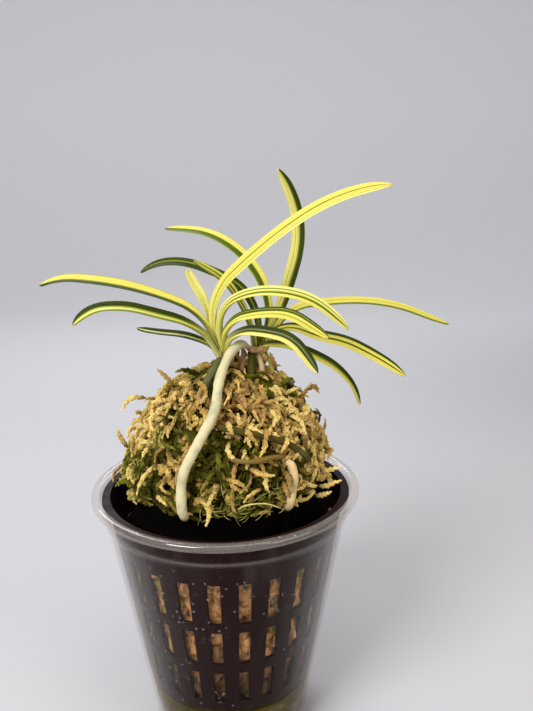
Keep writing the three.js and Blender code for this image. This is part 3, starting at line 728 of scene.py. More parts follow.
def spin_profile(bm, profile, steps):
    """Turns a line of radius and height all the way round."""
    verts, edges = line_of(bm, [(radius, 0, z) for radius, z in profile])
    bmesh.ops.spin(bm, geom=verts + edges, cent=(0, 0, 0), axis=(0, 0, 1), angle=TURN,
                   steps=steps, use_merge=True)
    bmesh.ops.remove_doubles(bm, verts=bm.verts[:], dist=1e-6)


def smooth_path(points, count):
    """Even points on a smooth curve through the given ones."""
    fine_steps = 24
    points = [Vector(point) for point in points]
    points = [2 * points[0] - points[1], *points, 2 * points[-1] - points[-2]]
    fine = []
    for before, start, end, after in zip(points, points[1:], points[2:], points[3:]):
        for step in range(fine_steps):
            t = step / fine_steps
            fine.append(0.5 * ((2 * start) + (end - before) * t
                               + (2 * before - 5 * start + 4 * end - after) * t * t
                               + (3 * start - before - 3 * end + after) * t ** 3))
    fine.append(points[-2])
    lengths = [0]
    for start, end in zip(fine, fine[1:]):
        lengths.append(lengths[-1] + (end - start).length)
    even, at = [], 0
    for index in range(count):
        wanted = lengths[-1] * index / (count - 1)
        while at < len(fine) - 2 and lengths[at + 1] < wanted:
            at += 1
        gap = lengths[at + 1] - lengths[at]
        even.append(fine[at].lerp(fine[at + 1], (wanted - lengths[at]) / gap if gap else 0))
    return even


def path_frames(points):
    """Each point of a path with two directions across it that don't twist."""
    frames = []
    side = None
    for index, point in enumerate(points):
        along = (points[min(index + 1, len(points) - 1)] - points[max(index - 1, 0)]).normalized()
        if side is None:
            side = along.orthogonal().normalized()
        side = (side - along * side.dot(along)).normalized()
        frames.append((point, side, along.cross(side)))
    return frames


def on_circle(radius, angle, z=0.0):
    return Vector((radius * math.cos(angle), radius * math.sin(angle), z))


# ---- the pot ----
def cup_radius(z):
    return CUP_RADIUS + CUP_SLOPE * (z - LIP_Z)


def basket_radius(z):
    return BASKET_RADIUS + BASKET_SLOPE * (z - LIP_Z)


def cup_profile(lip):
    """Radius and height, up the outside of the cup, over its rolled lip and down the inside."""
    foot = [(cup_radius(0) - inward, z) for inward, z in CUP_FOOT]
    cone = [(cup_radius(z), z) for z in CUP_CONE]
    rolled = [(lip - inward, z) for inward, z in CUP_LIP]
    inner = [(cup_radius(z) - CUP_WALL - inward, z) for inward, z in CUP_INNER]
    return [(0, 0), *foot, *cone, *CUP_BAND, *rolled, *CUP_THROAT, *inner, (0, CUP_FLOOR)]


def cup_material(settings):
    """Clear face on and like a mirror edge on, under a pale haze of dust and smears."""
    material, graph = new_material("clear_cup")
    place, height = own_place(graph), own_axis(graph, "Z")
    facing = graph.maths("POWER", graph.node("ShaderNodeLayerWeight", None, {"Blend": 0.5}, "Facing"), 6)
    lip = level(graph, height, *LIP_FROM)
    ledge = level(graph, height, *LEDGE_FROM) * level(graph, height, *LEDGE_UNTIL)
    dots = graph.node("ShaderNodeTexVoronoi", None, {"Vector": place, "Scale": 330}, "Distance")
    specks = level(graph, dots, 0.16, 0.1) * level(graph, grain(graph, place, 60), 0.4, 0.6)
    smear = level(graph, grain(graph, upright(graph, 0.08), 130, 4), 0.52, 0.78)
    clear = graph.node("ShaderNodeBsdfTransparent", None, {"Color": rgba(GLASS_TINT)})
    shine = surface(graph, {"Base Color": rgba(SHINE_TINT), "Metallic": 1.0, "Roughness": 0.06})
    haze = surface(graph, {"Base Color": rgba(settings.cup_colour), "Roughness": 0.25})
    mirror = facing * 0.8 * (1 - lip * 0.5) + 0.002 + lip * 0.075
    dull = specks * 0.3 + smear * 0.022 + lip * 0.09 + ledge * 0.09 + facing * 0.03
    output(graph, mix_shaders(graph, mix_shaders(graph, clear, shine, mirror), haze, dull))
    return material


def basket_material(settings):
    material, graph = new_material("black_plastic")
    place = own_place(graph)
    runs = level(graph, grain(graph, upright(graph, 0.12), 190, 5), 0.46, 0.72)
    patches = level(graph, grain(graph, place, 45, 4), 0.4, 0.75)
    dust = level(graph, grain(graph, place, 900), 0.6, 0.78) * patches
    base = mix(graph, settings.basket_colour, settings.dust_colour, runs * patches * 0.03 + dust * 0.1)
    output(graph, surface(graph, {
        "Base Color": base, "Roughness": 0.42 + runs * 0.18 + dust * 0.2, "Specular IOR Level": 0.08,
        "Normal": bump(graph, grain(graph, place, 260), 0.00005, 0.4)}))
    return material


def water_material(settings):
    material, graph = new_material("water")
    cloud = grain(graph, own_place(graph), 70)
    tint = mix(graph, settings.water_colour, DEEP_WATER, level(graph, cloud, 0.35, 0.7))
    output(graph, surface(graph, {"Base Color": tint, "Roughness": 0.06, "Alpha": 0.78 + cloud * 0.2,
                                  "IOR": 1.33}))
    return material


class MakeCup(bpy.types.Operator):
    """Make the clear cup with its rolled lip"""
    bl_idname = "orchid.make_cup"
    bl_label = "Clear cup"

    def execute(self, context):
        settings = context.scene.orchid_pot
        bm = bmesh.new()
        spin_profile(bm, cup_profile(settings.lip_radius), CUP_STEPS)
        outward(bm)
        add_piece("cup_clear", bm, cup_material(settings), ["clear_cup"])
        return {"FINISHED"}


def slotted_wall(bm):
    """The basket's wall and floor as one skin, with its slots and drain holes cut out."""
    levels = [BASKET_FLOOR]
    for bottom, top in reversed(SLOT_ROWS):
        levels += [bottom, (bottom + top) / 2, top]
    levels += [(levels[-1] + BASKET_TOP) / 2, BASKET_TOP]
    floor = [(radius, BASKET_FLOOR) for radius in FLOOR_RINGS]
    wall = [(basket_radius(z), z) for z in levels]
    spin_profile(bm, floor + wall, BASKET_COLUMNS * 4)
    pitch = TURN / BASKET_COLUMNS
    shifts = (-0.5, -SLOT_SHARE / 2, 0, SLOT_SHARE / 2)
    for vertex in bm.verts:
        radius = math.hypot(vertex.co.x, vertex.co.y)
        if radius > FLOOR_RINGS[-1] + MARGIN:
            quarter = round(math.atan2(vertex.co.y, vertex.co.x) / (pitch / 4))
            column, part = divmod(quarter + 2, 4)
            vertex.co = on_circle(radius, (column + shifts[part]) * pitch, vertex.co.z)
    turn = Matrix.Rotation(-TURN / 4 + pitch / 2, 3, "Z")
    bmesh.ops.rotate(bm, verts=bm.verts[:], cent=(0, 0, 0), matrix=turn)
    holes = [face for face in bm.faces if in_opening(face.calc_center_median())]
    bmesh.ops.delete(bm, geom=holes, context="FACES")


def in_opening(middle):
    """Whether a point of the basket's skin lies in a slot or a drain hole."""
    angle = math.atan2(middle.y, middle.x)
    if middle.z < BASKET_FLOOR + MARGIN:
        off_hole = abs((angle / TURN * FLOOR_HOLES + 0.5) % 1 - 0.5)
        in_ring = FLOOR_RINGS[2] < math.hypot(middle.x, middle.y) < FLOOR_RINGS[3]
        return in_ring and off_hole < FLOOR_HOLE_SHARE / 2
    off_slot = abs(((angle + TURN / 4) / TURN * BASKET_COLUMNS) % 1 - 0.5)
    in_row = any(bottom < middle.z < top for bottom, top in SLOT_ROWS)
    return in_row and off_slot < SLOT_SHARE / 2


def flange_mesh():
    """The flat ring that hangs on the cup's lip, as a closed band."""
    bm = bmesh.new()
    top, under, rim = BASKET_TOP, BASKET_TOP - BASKET_WALL, BASKET_FLANGE
    inner = basket_radius(top) - BASKET_WALL
    spin_profile(bm, [(inner, under), (rim - FLANGE_EDGE, under), (rim, under + FLANGE_EDGE),
                      (rim, top - FLANGE_EDGE), (rim - FLANGE_EDGE, top), (inner, top), (inner, under)],
                 BASKET_COLUMNS * 4)
    outward(bm)
    return as_mesh("flange", bm)


class MakeBasket(bpy.types.Operator):
    """Make the black basket with three rows of slots"""
    bl_idname = "orchid.make_basket"
    bl_label = "Net basket"

    def execute(self, context):
        settings = context.scene.orchid_pot
        bm = bmesh.new()
        slotted_wall(bm)
        outward(bm)
        bmesh.ops.solidify(bm, geom=bm.faces[:], thickness=BASKET_WALL)
        flange = flange_mesh()
        bm.from_mesh(flange)
        bpy.data.meshes.remove(flange)
        sharp = [edge for edge in bm.edges
                 if len(edge.link_faces) == 2 and edge.calc_face_angle() > SHARP_EDGE]
        bmesh.ops.bevel(bm, geom=sharp, offset=settings.slot_bevel, affect="EDGES", segments=2,
                        profile=0.5, material=-1)
        outward(bm)
        piece = add_piece("basket_net", bm, basket_material(settings), ["net_basket"])
        weighted = piece.modifiers.new("Weighted normals", "WEIGHTED_NORMAL")
        weighted.keep_sharp = True
        return {"FINISHED"}


def water_profile(top):
    """Radius and height of the water, rounded at its foot and drawn up where it wets the cup."""
    floor = CUP_FLOOR + WATER_GAP
    low, bend, high = [cup_radius(z) - CUP_WALL - WATER_GAP for z in (floor, WATER_BEND, top)]
    foot = [(low - 0.0028, floor), (low - 0.001, floor + 0.001), (bend, WATER_BEND)]
    edge = [(high, top + 0.0006), (high - 0.0008, top + 0.0001), (high - 0.002, top)]
    return [(0, floor), *foot, *edge, (0, top)]


class MakeWater(bpy.types.Operator):
    """Make the shallow water under the basket"""
    bl_idname = "orchid.make_water"
    bl_label = "Drain water"

    def execute(self, context):
        settings = context.scene.orchid_pot
        bm = bmesh.new()
        spin_profile(bm, water_profile(settings.water_top), CUP_STEPS)
        outward(bm)
        add_piece("water_in_cup", bm, water_material(settings), ["drain_water"])
        return {"FINISHED"}


# ---- the mound ----
def mound_curve(share):
    """Half-width and height of the mound, from its foot at 0 to its top at 1."""
    place = min(max(share, 0), 0.9999) * (len(MOUND) - 1)
    step = int(place)
    rest = place - step
    (r0, z0), (r1, z1) = MOUND[step], MOUND[step + 1]
    return r0 + (r1 - r0) * rest, LIP_Z + z0 + (z1 - z0) * rest


def mound_slope(share):
    """The direction up the mound's outline."""
    r0, z0 = mound_curve(share - 0.03)
    r1, z1 = mound_curve(share + 0.03)
    return Vector((r1 - r0, z1 - z0)).normalized()


def mound_lean(z):
    """How far the mound leans to the right at a height."""
    return MOUND_LEAN * min(max((z - LIP_Z) / MOUND_HEIGHT, 0), 1)


def on_mound(share, angle, height=0.0):
    """A point over the mound, and the directions up its outline, round it and outward."""
    radius, z = mound_curve(share)
    slope = mound_slope(share)
    radial = on_circle(1, angle)
    lump = MOUND_LUMP * noise.noise(Vector((radial.x * 2.2, radial.y * 2.2, z * 60)))
    up = radial * slope.x + Vector((0, 0, slope.y))
    out = radial * slope.y - Vector((0, 0, slope.x))
    point = radial * radius + Vector((mound_lean(z), 0, z)) + out * (height + lump)
    return point, up, Vector((-radial.y, radial.x, 0)), out


def mound_areas(steps=200):
    """The mound's area below each of its even shares, in turns."""
    areas = [0.0]
    for step in range(steps):
        (r0, z0), (r1, z1) = mound_curve(step / steps), mound_curve((step + 1) / steps)
        areas.append(areas[-1] + (r0 + r1) / 2 * math.hypot(r1 - r0, z1 - z0))
    return areas


def core_material(settings):
    """Bark in the basket and damp moss in the mound, with a band of painted shade between."""
    material, graph = new_material("moss_core")
    place, height = own_place(graph), own_axis(graph, "Z")
    flecks = level(graph, grain(graph, place, 420, 4), 0.52, 0.7)
    damp = grain(graph, place, 60)
    moss = mix(graph, settings.soil_and_shade, DAMP_MOSS, level(graph, damp, 0.35, 0.6))
    moss = mix(graph, moss, FLECK, flecks * 0.3)
    crumbs = level(graph, grain(graph, place, 330, 4), 0.42, 0.68)
    bark = mix(graph, settings.bark, settings.soil_and_shade, crumbs * 0.8)
    bark = mix(graph, bark, settings.soil_and_shade, level(graph, height, *FILL_SHADE) * 0.75)
    above = level(graph, height, *FILL_TOP)
    base = mix(graph, bark, moss, above)
    # painted shade: near black just below the rim, where the gap under the mound is shaded
    base = mix(graph, base, CORE_GAP_SHADE, above * level(graph, height, *CORE_SHADE))
    output(graph, surface(graph, {"Base Color": base, "Roughness": 0.95, "Specular IOR Level": 0.05,
                                  "Normal": bump(graph, grain(graph, place, 300, 5), 0.0012)}))
    return material


def core_profile(floor):
    """Radius and height of the basket's fill and of the core of the mound over it."""
    fill = [(basket_radius(z) - BASKET_WALL - FILL_SINK, z) for z in FILL_LEVELS]
    mound = []
    for radius, z in MOUND:
        if z > -0.01:
            neck = CORE_NECK if z < 0 else 0
            sink = CORE_SINK if z > 0.03 else 0
            mound.append((max(radius - CORE_SINK - neck, 0), LIP_Z + z - sink))
    return [(0, floor), *fill, *mound]


class MakeMossCore(bpy.types.Operator):
    """Make the dark inside of the mound and the fill of the basket"""
    bl_idname = "orchid.make_moss_core"
    bl_label = "Moss core"

    def execute(self, context):
        floor = BASKET_FLOOR + BASKET_WALL + CORE_LIFT
        bm = bmesh.new()
        spin_profile(bm, core_profile(floor), CORE_STEPS)
        long_edges = [edge for edge in bm.edges if edge.calc_length() > CORE_EDGE]
        bmesh.ops.subdivide_edges(bm, edges=long_edges, cuts=1, use_grid_fill=True)
        for vertex in bm.verts:
            lean = mound_lean(vertex.co.z)
            rough = noise.fractal(vertex.co * 160, 0.6, 2.0, 3) * CORE_ROUGHNESS
            radial = Vector((vertex.co.x, vertex.co.y, 0))
            if radial.length > 0.001 and vertex.co.z > floor + 0.001:
                vertex.co += radial.normalized() * rough
            vertex.co.x += lean
        outward(bm)
        add_piece("moss_core", bm, core_material(context.scene.orchid_moss), ["moss"])
        return {"FINISHED"}


# ---- the moss ----
def sprig_template():
    bm = bmesh.new()
    bmesh.ops.create_uvsphere(bm, u_segments=SPRIG_SIDES, v_segments=SPRIG_ROWS, radius=1)
    outward(bm)
    return as_mesh("sprig", bm)


class MossBed:
    """Gathers the sprigs of one kind of moss into one mesh."""

    def __init__(self, template):
        self.bm = bmesh.new()
        self.template = template
        self.marks = {}

    def sprig(self, points, width, tone, scaly=SPRIG_SCALY):
        """Adds a scaly sprig along a path, thickest near its foot and pointed at the tip."""
        path = smooth_path(points, SPRIG_ROWS + 1)
        frames = path_frames(path)
        for _, vertex in stamped(self.bm, self.template):
            share, turn = sphere_place(vertex.co)
            row = round(share * SPRIG_ROWS)
            share = row / SPRIG_ROWS
            flared = (round(turn / TURN * SPRIG_SIDES) + row) % 2
            point, side, up = frames[row]
            if 0 < row < SPRIG_ROWS:
                bulge = min(1, SPRIG_BLUNT + (1 - SPRIG_BLUNT) * share ** 0.95)
                radius = width / 2 * math.sin(math.pi * bulge) ** 0.65 * (1 + scaly if flared else 1 - scaly)
                ahead = (path[row + 1] - point) * (SCALE_REACH if flared else 0)
                across = side * math.cos(turn) + up * math.sin(turn) * SPRIG_THIN
                point = point + across * radius + ahead
            vertex.co = point
            self.marks[vertex] = (tone, share)

    def finish(self, name, material):
        keep_marks(self.bm, STRAND, self.marks)
        add_piece(name, self.bm, material, smooth=False)


def moss_kind(point, chance):
    """The kind of moss at a place: from its patch, or by chance across the mound."""
    best, kind = 1, None
    for middle, reach, patch in MOSS_PATCHES:
        near = (point - Vector(middle)).length / reach + 0.5 * (chance - 0.5)
        if near < best:
            best, kind = near, patch
    if kind and chance < (0.3 if kind == "rust" else 0.62):
        return kind
    side = noise.noise(point * 70) + 0.25 * (chance - 0.5)
    if side > 0.14:
        return "green" if chance < 0.3 else "olive"
    if side < -0.3:
        return "rust"
    return "straw"


def moss_material(name, shades, settings, tips):
    """Moss whose tone changes from sprig to sprig, with painted shade at the foot and paler at the tip."""
    material, graph = new_material(name)
    tone, along = own_marks(graph, STRAND)
    last = len(shades) - 1
    stops = [(index / last, blended(settings, *shade)) for index, shade in enumerate(shades)]
    base = ramp(graph, tone, stops)
    mottle = grain(graph, own_place(graph), 1400, 2)
    base = mix(graph, base, mix(graph, base, settings.soil_and_shade, 0.55), level(graph, mottle, 0.6, 0.3) * 0.7)
    # painted shade: each sprig darkens towards its foot, where it sinks between the others
    foot = mix(graph, mix(graph, settings.soil_and_shade, settings.olive, 0.3), base, 0.12)
    base = mix(graph, foot, base, level(graph, along, 0.0, 0.45))
    base = mix(graph, base, settings.cream, level(graph, along, 0.6, 1.0) * tips)
    output(graph, surface(graph, {"Base Color": base, "Roughness": 0.88, "Specular IOR Level": 0.12,
                                  "Normal": bump(graph, mottle, 0.0003, 0.6)}))
    return material


def sprig_swirl(rng, point):
    """How far a sprig turns from straight down the mound."""
    swirl = 2.4 * noise.noise(point * 95 + Vector((3, 1, 7))) + rng.uniform(-1.25, 1.25)
    if point.x > RIGHT_SIDE and rng.random() < 0.5:
        swirl += math.pi
    if point.z < MOSS_EDGE:
        swirl = math.copysign(rng.uniform(0.75, 1.7), swirl)
    return swirl


def sprig_path(rng, spot, length, upper, kind):
    """A sprig's foot in the moss, its middle, its tip and the hook at its end."""
    point, up, around, out = spot
    swirl = sprig_swirl(rng, point)
    way = -up * math.cos(swirl) + around * math.sin(swirl)
    if upper:
        lift = rng.uniform(0.3, 0.7 if kind == "olive" else 1.15)
    else:
        lift = rng.uniform(-0.05, 0.2)
    foot = point - out * (0.0026 if upper else 0.0032) - way * length * 0.35
    bend = way.cross(out) * rng.uniform(-0.3, 0.3)
    middle = foot + (way + out * lift + bend) * length * 0.5
    tip = middle + (way + out * (lift - rng.uniform(0.5, 1.3)) - bend * 0.8) * length * 0.42
    hook = tip + ((tip - middle).normalized() - out * 0.5 - up * 0.4) * length * 0.14 - bend * length * 0.25
    return [foot, middle, tip, hook]


def place_sprigs(beds, settings):
    """Covers the mound with sprigs: two of three are loose and bright, over a flat, darker layer of painted
    shade.
    """
    rng = random.Random(settings.seed)
    areas = mound_areas()
    for index in range(settings.sprigs):
        wanted = areas[-1] * (MOSS_FROM + (MOSS_TO - MOSS_FROM) * ((index * GOLDEN_SHARE) % 1))
        share = bisect_left(areas, wanted) / (len(areas) - 1)
        angle = index * SPRIG_TURN + rng.uniform(-0.1, 0.1)
        upper = index % 3 > 0
        plump = index % 2
        length = settings.sprig_length * (rng.uniform(0.5, 0.8) if plump else rng.uniform(0.8, 1.3))
        point, up, around, out = on_mound(share, angle)
        if point.z < LOW_BULGE_TO:
            point += out * LOW_BULGE * max(0, -math.cos(angle))
        if point.z > SIDE_PRESS_FROM:
            point -= out * SIDE_PRESS * abs(math.cos(angle))
        kind = moss_kind(point, rng.random())
        # painted shade: some low sprigs at the front take the olive of shaded moss
        if point.z < SHADY_TO and math.sin(angle) < -0.6 and rng.random() < 0.35:
            kind = "olive"
        path = sprig_path(rng, (point, up, around, out), length, upper, kind)
        # painted shade: the lower layer takes the darker green and olive tones, as shade under the loose
        # sprigs
        if not upper:
            kind = "green" if rng.random() < 0.4 else "olive"
        tone = rng.uniform(*MOSS_TONES[kind]) * (1 if upper else 0.42)
        width = settings.sprig_width * (rng.uniform(0.8, 1.3) if plump else rng.uniform(0.65, 1.1))
        beds[MOSS_PIECE[kind]].sprig(path, width, tone, rng.uniform(0.16, 0.34))


class MakeMossSprigs(bpy.types.Operator):
    """Make the scaly dry sprigs that cover the mound"""
    bl_idname = "orchid.make_moss_sprigs"
    bl_label = "Moss sprigs"

    def execute(self, context):
        settings = context.scene.orchid_moss
        template = sprig_template()
        beds = {name: MossBed(template) for name in MOSS_SHADES}
        place_sprigs(beds, settings)
        rng = random.Random(settings.seed + 1)
        for kind, path in LONG_SPRIGS:
            beds[MOSS_PIECE[kind]].sprig(path, settings.sprig_width, rng.uniform(*MOSS_TONES[kind]))
        for name, (tips, shades) in MOSS_SHADES.items():
            piece = "moss_" + name
            beds[name].finish(piece, moss_material(piece, shades, settings, tips))
        bpy.data.meshes.remove(template)
        return {"FINISHED"}


def thread(bm, marks, points, radius, tone, rows):
    """A fine round thread along a path, with its tone kept for the material."""
    made = tube(bm, points, 4, rows, lambda share, turn, point: radius * min(1, 5 * (1 - share) + 0.15))
    for vertex in made:
        marks[vertex] = (tone, STRAND_MIDDLE)


class MakeMossCurls(bpy.types.Operator):
    """Make the fine fresh threads of moss near the front of the rim"""
    bl_idname = "orchid.make_moss_curls"
    bl_label = "Fresh curls"

    def execute(self, context):
        settings = context.scene.orchid_moss
        rng = random.Random(settings.seed + 2)
        bm, marks = bmesh.new(), {}
        for _ in range(settings.curls):
            angle = math.radians(rng.uniform(*CURL_DEGREES))
            point, up, around, out = on_mound(rng.uniform(*CURL_SHARES), angle, 0.0008)
            reach = rng.uniform(*CURL_REACH)
            way = (around * rng.uniform(-1, 1) + up * rng.uniform(-0.6, 0.6)).normalized() * reach
            arch = out * reach * rng.uniform(0.15, 0.4)
            path = [point, point + way * 0.35 + arch, point + way * 0.75 + arch * 0.8,
                    point + way + arch * 0.1]
            thread(bm, marks, path, CURL_RADIUS, 0.7 * rng.random(), 8)
        start = on_mound(0.27, math.radians(-86), 0.002)[0]
        thread(bm, marks, [start + Vector(step) for step in LONG_THREAD], LONG_THREAD_RADIUS, 0.9, 14)
        outward(bm)
        keep_marks(bm, STRAND, marks)
        add_piece("moss_curls", bm, moss_material("moss_curls", CURL_SHADES, settings, 0.1))
        return {"FINISHED"}


def bark_material(settings):
    """Chips whose tone changes from one to the next, with lines along them."""
    material, graph = new_material("bark")
    tone = own_marks(graph, STRAND)[0]
    base = ramp(graph, tone, [(place, blended(settings, *shade)) for place, shade in BARK_SHADES])
    lines = grain(graph, upright(graph, 0.35), 900, 4)
    base = mix(graph, base, mix(graph, base, settings.soil_and_shade, 0.6), level(graph, lines, 0.58, 0.4))
    base = mix(graph, base, settings.cream, level(graph, lines, 0.62, 0.74) * 0.5)
    base = mix(graph, base, settings.soil_and_shade, level(graph, own_axis(graph, "Z"), *FILL_SHADE) * 0.75)
    output(graph, surface(graph, {"Base Color": base, "Roughness": 0.85,
                                  "Normal": bump(graph, lines, 0.0006)}))
    return material


def add_chip(bm, marks, template, rng):
    """One flat uneven chip behind the basket's wall."""
    z = rng.uniform(*CHIP_HEIGHTS)
    angle = rng.uniform(0, TURN)
    half = Vector((rng.uniform(0.0022, 0.005), rng.uniform(0.0006, 0.0012), rng.uniform(0.0016, 0.0032)))
    radius = basket_radius(z) - BASKET_WALL - CHIP_GAP - half.y * rng.uniform(0.5, 1.5)
    turn = (Quaternion((0, 0, 1), angle + TURN / 4) @ Quaternion((0, 1, 0), rng.uniform(-1.5, 1.5))
            @ Quaternion((0, 0, 1), rng.uniform(-0.25, 0.25)))
    tone = min(1, max(0, rng.gauss(0.5, 0.34)))
    if math.cos(angle) < -0.4 and rng.random() < 0.4:
        tone = 1
    middle = on_circle(radius, angle, z)
    for index, vertex in stamped(bm, template):
        local = vertex.co * (1 + 0.35 * noise.noise(vertex.co * 1.7 + Vector((index, tone * 9, 0)) * 0.01))
        local = Vector([math.copysign(abs(c) ** CHIP_SQUARE, c) * reach for c, reach in zip(local, half)])
        vertex.co = middle + turn @ local
        marks[vertex] = (tone, STRAND_MIDDLE)


class MakeBarkFill(bpy.types.Operator):
    """Make the bark chips and old moss that show through the basket's slots"""
    bl_idname = "orchid.make_bark_fill"
    bl_label = "Bark fill"

    def execute(self, context):
        settings = context.scene.orchid_moss
        rng = random.Random(settings.seed + 3)
        maker = bmesh.new()
        bmesh.ops.create_icosphere(maker, subdivisions=2, radius=1)
        template = as_mesh("chip", maker)
        bm, marks = bmesh.new(), {}
        for _ in range(settings.chips):
            add_chip(bm, marks, template, rng)
        bpy.data.meshes.remove(template)
        keep_marks(bm, STRAND, marks)
        add_piece("bark_fill", bm, bark_material(settings))
        return {"FINISHED"}


# ---- the leaves ----
def fan_of(leaf_name):
    """The letter of the fan that a leaf grows from."""
    return leaf_name[len("leaf_")]


def climb_at(climb, share):
    """A blade's climb in degrees at a share of its length."""
    place = share * (len(climb) - 1)
    step = min(int(place), len(climb) - 2)
    return climb[step] + (climb[step + 1] - climb[step]) * (place - step)


def leaf_way(heading, climb, share):
    """The direction along a blade and its heading."""
    turn = math.radians(heading[0] + (heading[1] - heading[0]) * share)
    rise = math.radians(climb_at(climb, share))
    return on_circle(math.cos(rise), turn, math.sin(rise)), turn


def leaf_path(leaf, foot):
    """Points, directions, headings and shares from the fan's foot, by the sheath, to the tip.

    A share runs from -1 at the foot over 0 at the blade's start to 1 at the tip."""
    start, length, _, heading, climb, _, _ = leaf
    start = Vector(start)
    first, turn = leaf_way(heading, climb, 0)
    bend = start - first * (start - foot).length * SHEATH_BEND
    path = []
    for row in range(SHEATH_ROWS):
        t = row / SHEATH_ROWS
        low, high = foot.lerp(bend, t), bend.lerp(start, t)
        path.append((low.lerp(high, t), (high - low).normalized(), turn, -1 + t))
    point = start.copy()
    shares = [1 - (1 - row / BLADE_ROWS) ** BLADE_CROWDING for row in range(BLADE_ROWS + 1)]
    for before, share in zip([0] + shares, shares):
        for step in range(BLADE_STEPS if share > before else 0):
            at = before + (share - before) * (step + 0.5) / BLADE_STEPS
            point = point + leaf_way(heading, climb, at)[0] * length * (share - before) / BLADE_STEPS
        along, turn = leaf_way(heading, climb, share)
        path.append((point, along, turn, share))
    return path


def width_share(share):
    """A blade's width as a share of its full width, from -1 at the foot to 1 at the tip."""
    if share < 0:
        return SHEATH_FOOT + (BLADE_START - SHEATH_FOOT) * (1 + share)
    swell = math.sin(min(share / BLADE_FULL_AT, 1) * math.pi / 2)
    taper = max(0, (share - BLADE_TAPER_FROM) / (1 - BLADE_TAPER_FROM))
    tip = max(0, (share - BLADE_TIP_FROM) / (1 - BLADE_TIP_FROM))
    narrow = 1 - (1 - BLADE_TAPER_TO) * taper * taper
    return (BLADE_START + (1 - BLADE_START) * swell) * narrow * (1 - tip ** 2.2) ** 0.6


def leaf_skin(bm, leaf, foot, settings, seed):
    """A folded, keeled blade and its sheath, with its stripes' marks."""
    path = leaf_path(leaf, foot)
    _, _, width, heading, _, roll, _ = leaf
    rows = len(path) - 1

    def place(share, turn):
        point, along, heading_now, blade = path[round(share * rows)]
        across = Vector((math.sin(heading_now), -math.cos(heading_now), 0))
        across = (across - along * across.dot(along)).normalized()
        sway = 3 * math.sin(share * 7 + seed)
        tilt = Quaternion(along, math.radians(roll + sway))
        across, up = tilt @ across, tilt @ across.cross(along)
        opened = min(max((blade + 0.7) / 0.95, 0), 1)
        fold = settings.fold * (1.8 - 0.8 * opened - 0.25 * max(blade, 0))
        half = width / 2 * width_share(blade)
        side, top = math.cos(turn), math.sin(turn)
        thick = settings.thickness / 2 * (1 - 0.45 * side * side) * (1 - 0.3 * max(blade, 0))
        thick = min(thick, half * 0.8)
        rise = (math.sqrt(side * side + 0.01) - 1) * half * math.sin(fold)
        rise += math.copysign(abs(top) ** 0.7, top) * thick
        if top < 0:
            rise -= 0.5 * thick * math.exp(-(side / 0.2) ** 2)
        return point - across * (side * half * math.cos(fold)) + up * rise

    near_sign = math.copysign(1, math.cos(math.radians(heading[0])))
    marks = {}
    for vertex, (share, turn) in swept(bm, LEAF_SIDES, rows, place).items():
        off = -math.cos(turn) * near_sign
        marks[vertex] = (FAR_HALF + off * (FAR_HALF if off < 0 else 1 - FAR_HALF), share)
    outward(bm)
    keep_marks(bm, BLADE, marks)


def leaf_material(name, stripes, settings, seed, bright):
    """Stripes across the blade, which waver and break up a little along it."""
    material, graph = new_material(name)
    across, along = own_marks(graph, BLADE)
    slow = grain(graph, joined(graph, across * 4, along * 5, seed), 1, 2)
    fine = grain(graph, joined(graph, across * 46, along * 3.5, seed), 1)
    place = across + (slow - 0.5) * 0.07 + (fine - 0.5) * 0.05
    base = ramp(graph, place, [(at, getattr(settings, shade)) for at, shade in stripes])
    lines = level(graph, fine, 0.35, 0.7)
    base = mix(graph, base, mix(graph, base, settings.lime, 0.35), lines * 0.5)
    fresh = mix(graph, settings.lime, settings.pale, 0.42 + lines * 0.5)
    base = mix(graph, base, fresh, level(graph, along, *LEAF_FOOT) * bright)
    groove = level(graph, graph.maths("ABSOLUTE", across - FAR_HALF), 0.05, 0.0)
    base = mix(graph, base, settings.green, groove * 0.12)
    height = fine * 0.5 + slow * 0.3 - groove
    output(graph, surface(graph, {
        "Base Color": base, "Roughness": 0.42 + fine * 0.16, "Specular IOR Level": 0.13,
        "Normal": bump(graph, height, 0.00018, 0.7)}))
    return material


class MakeLeaves(bpy.types.Operator):
    """Make the striped leaves of both fans, each down to the fan's foot"""
    bl_idname = "orchid.make_leaves"
    bl_label = "Leaves"

    def execute(self, context):
        settings = context.scene.orchid_leaf
        for index, (name, leaf) in enumerate(LEAVES.items()):
            fan = FANS[fan_of(name)]
            foot = Vector(fan["foot"])
            foot += (Vector(leaf[0]) - foot) * Vector(FOOT_SPREAD)
            bm = bmesh.new()
            leaf_skin(bm, leaf, foot, settings, index * 1.7)
            material = leaf_material(name + "_stripes", leaf[6], settings, index * 3.1, fan["bright"])
            add_piece("striped_" + name, bm, material, [name])
        return {"FINISHED"}


def crown_material(name, settings, tint):
    """Papery, with dry streaks that run up and down."""
    material, graph = new_material(name)
    streaks = grain(graph, upright(graph, 0.25), 900, 4)
    base = mix(graph, tint, settings.papery, level(graph, streaks, 0.42, 0.6))
    base = mix(graph, base, SHEATH_STREAK, level(graph, streaks, 0.6, 0.75) * 0.6)
    output(graph, surface(graph, {"Base Color": base, "Roughness": 0.62,
                                  "Normal": bump(graph, streaks, 0.0004)}))
    return material


def crown_stem(bm, foot, fan):
    """The short ringed stem, from below a fan's foot towards the middle of its leaves' starts."""
    starts = [Vector(leaf[0]) for name, leaf in LEAVES.items() if fan_of(name) == fan]
    rise = (sum(starts, Vector()) / len(starts) - foot).normalized()

    def radius(share, turn, point):
        bulge = 0.0012 * math.sin(math.pi * min(share * 1.1, 1))
        rings = 0.00014 * math.sin(share * 44)
        return (CROWN_RADIUS + bulge + rings) * min(1, 6 * share, 6 * (1 - share)) ** 0.5

    tube(bm, [foot - rise * 0.003, foot, foot + rise * 0.006], CROWN_SIDES, CROWN_ROWS, radius)


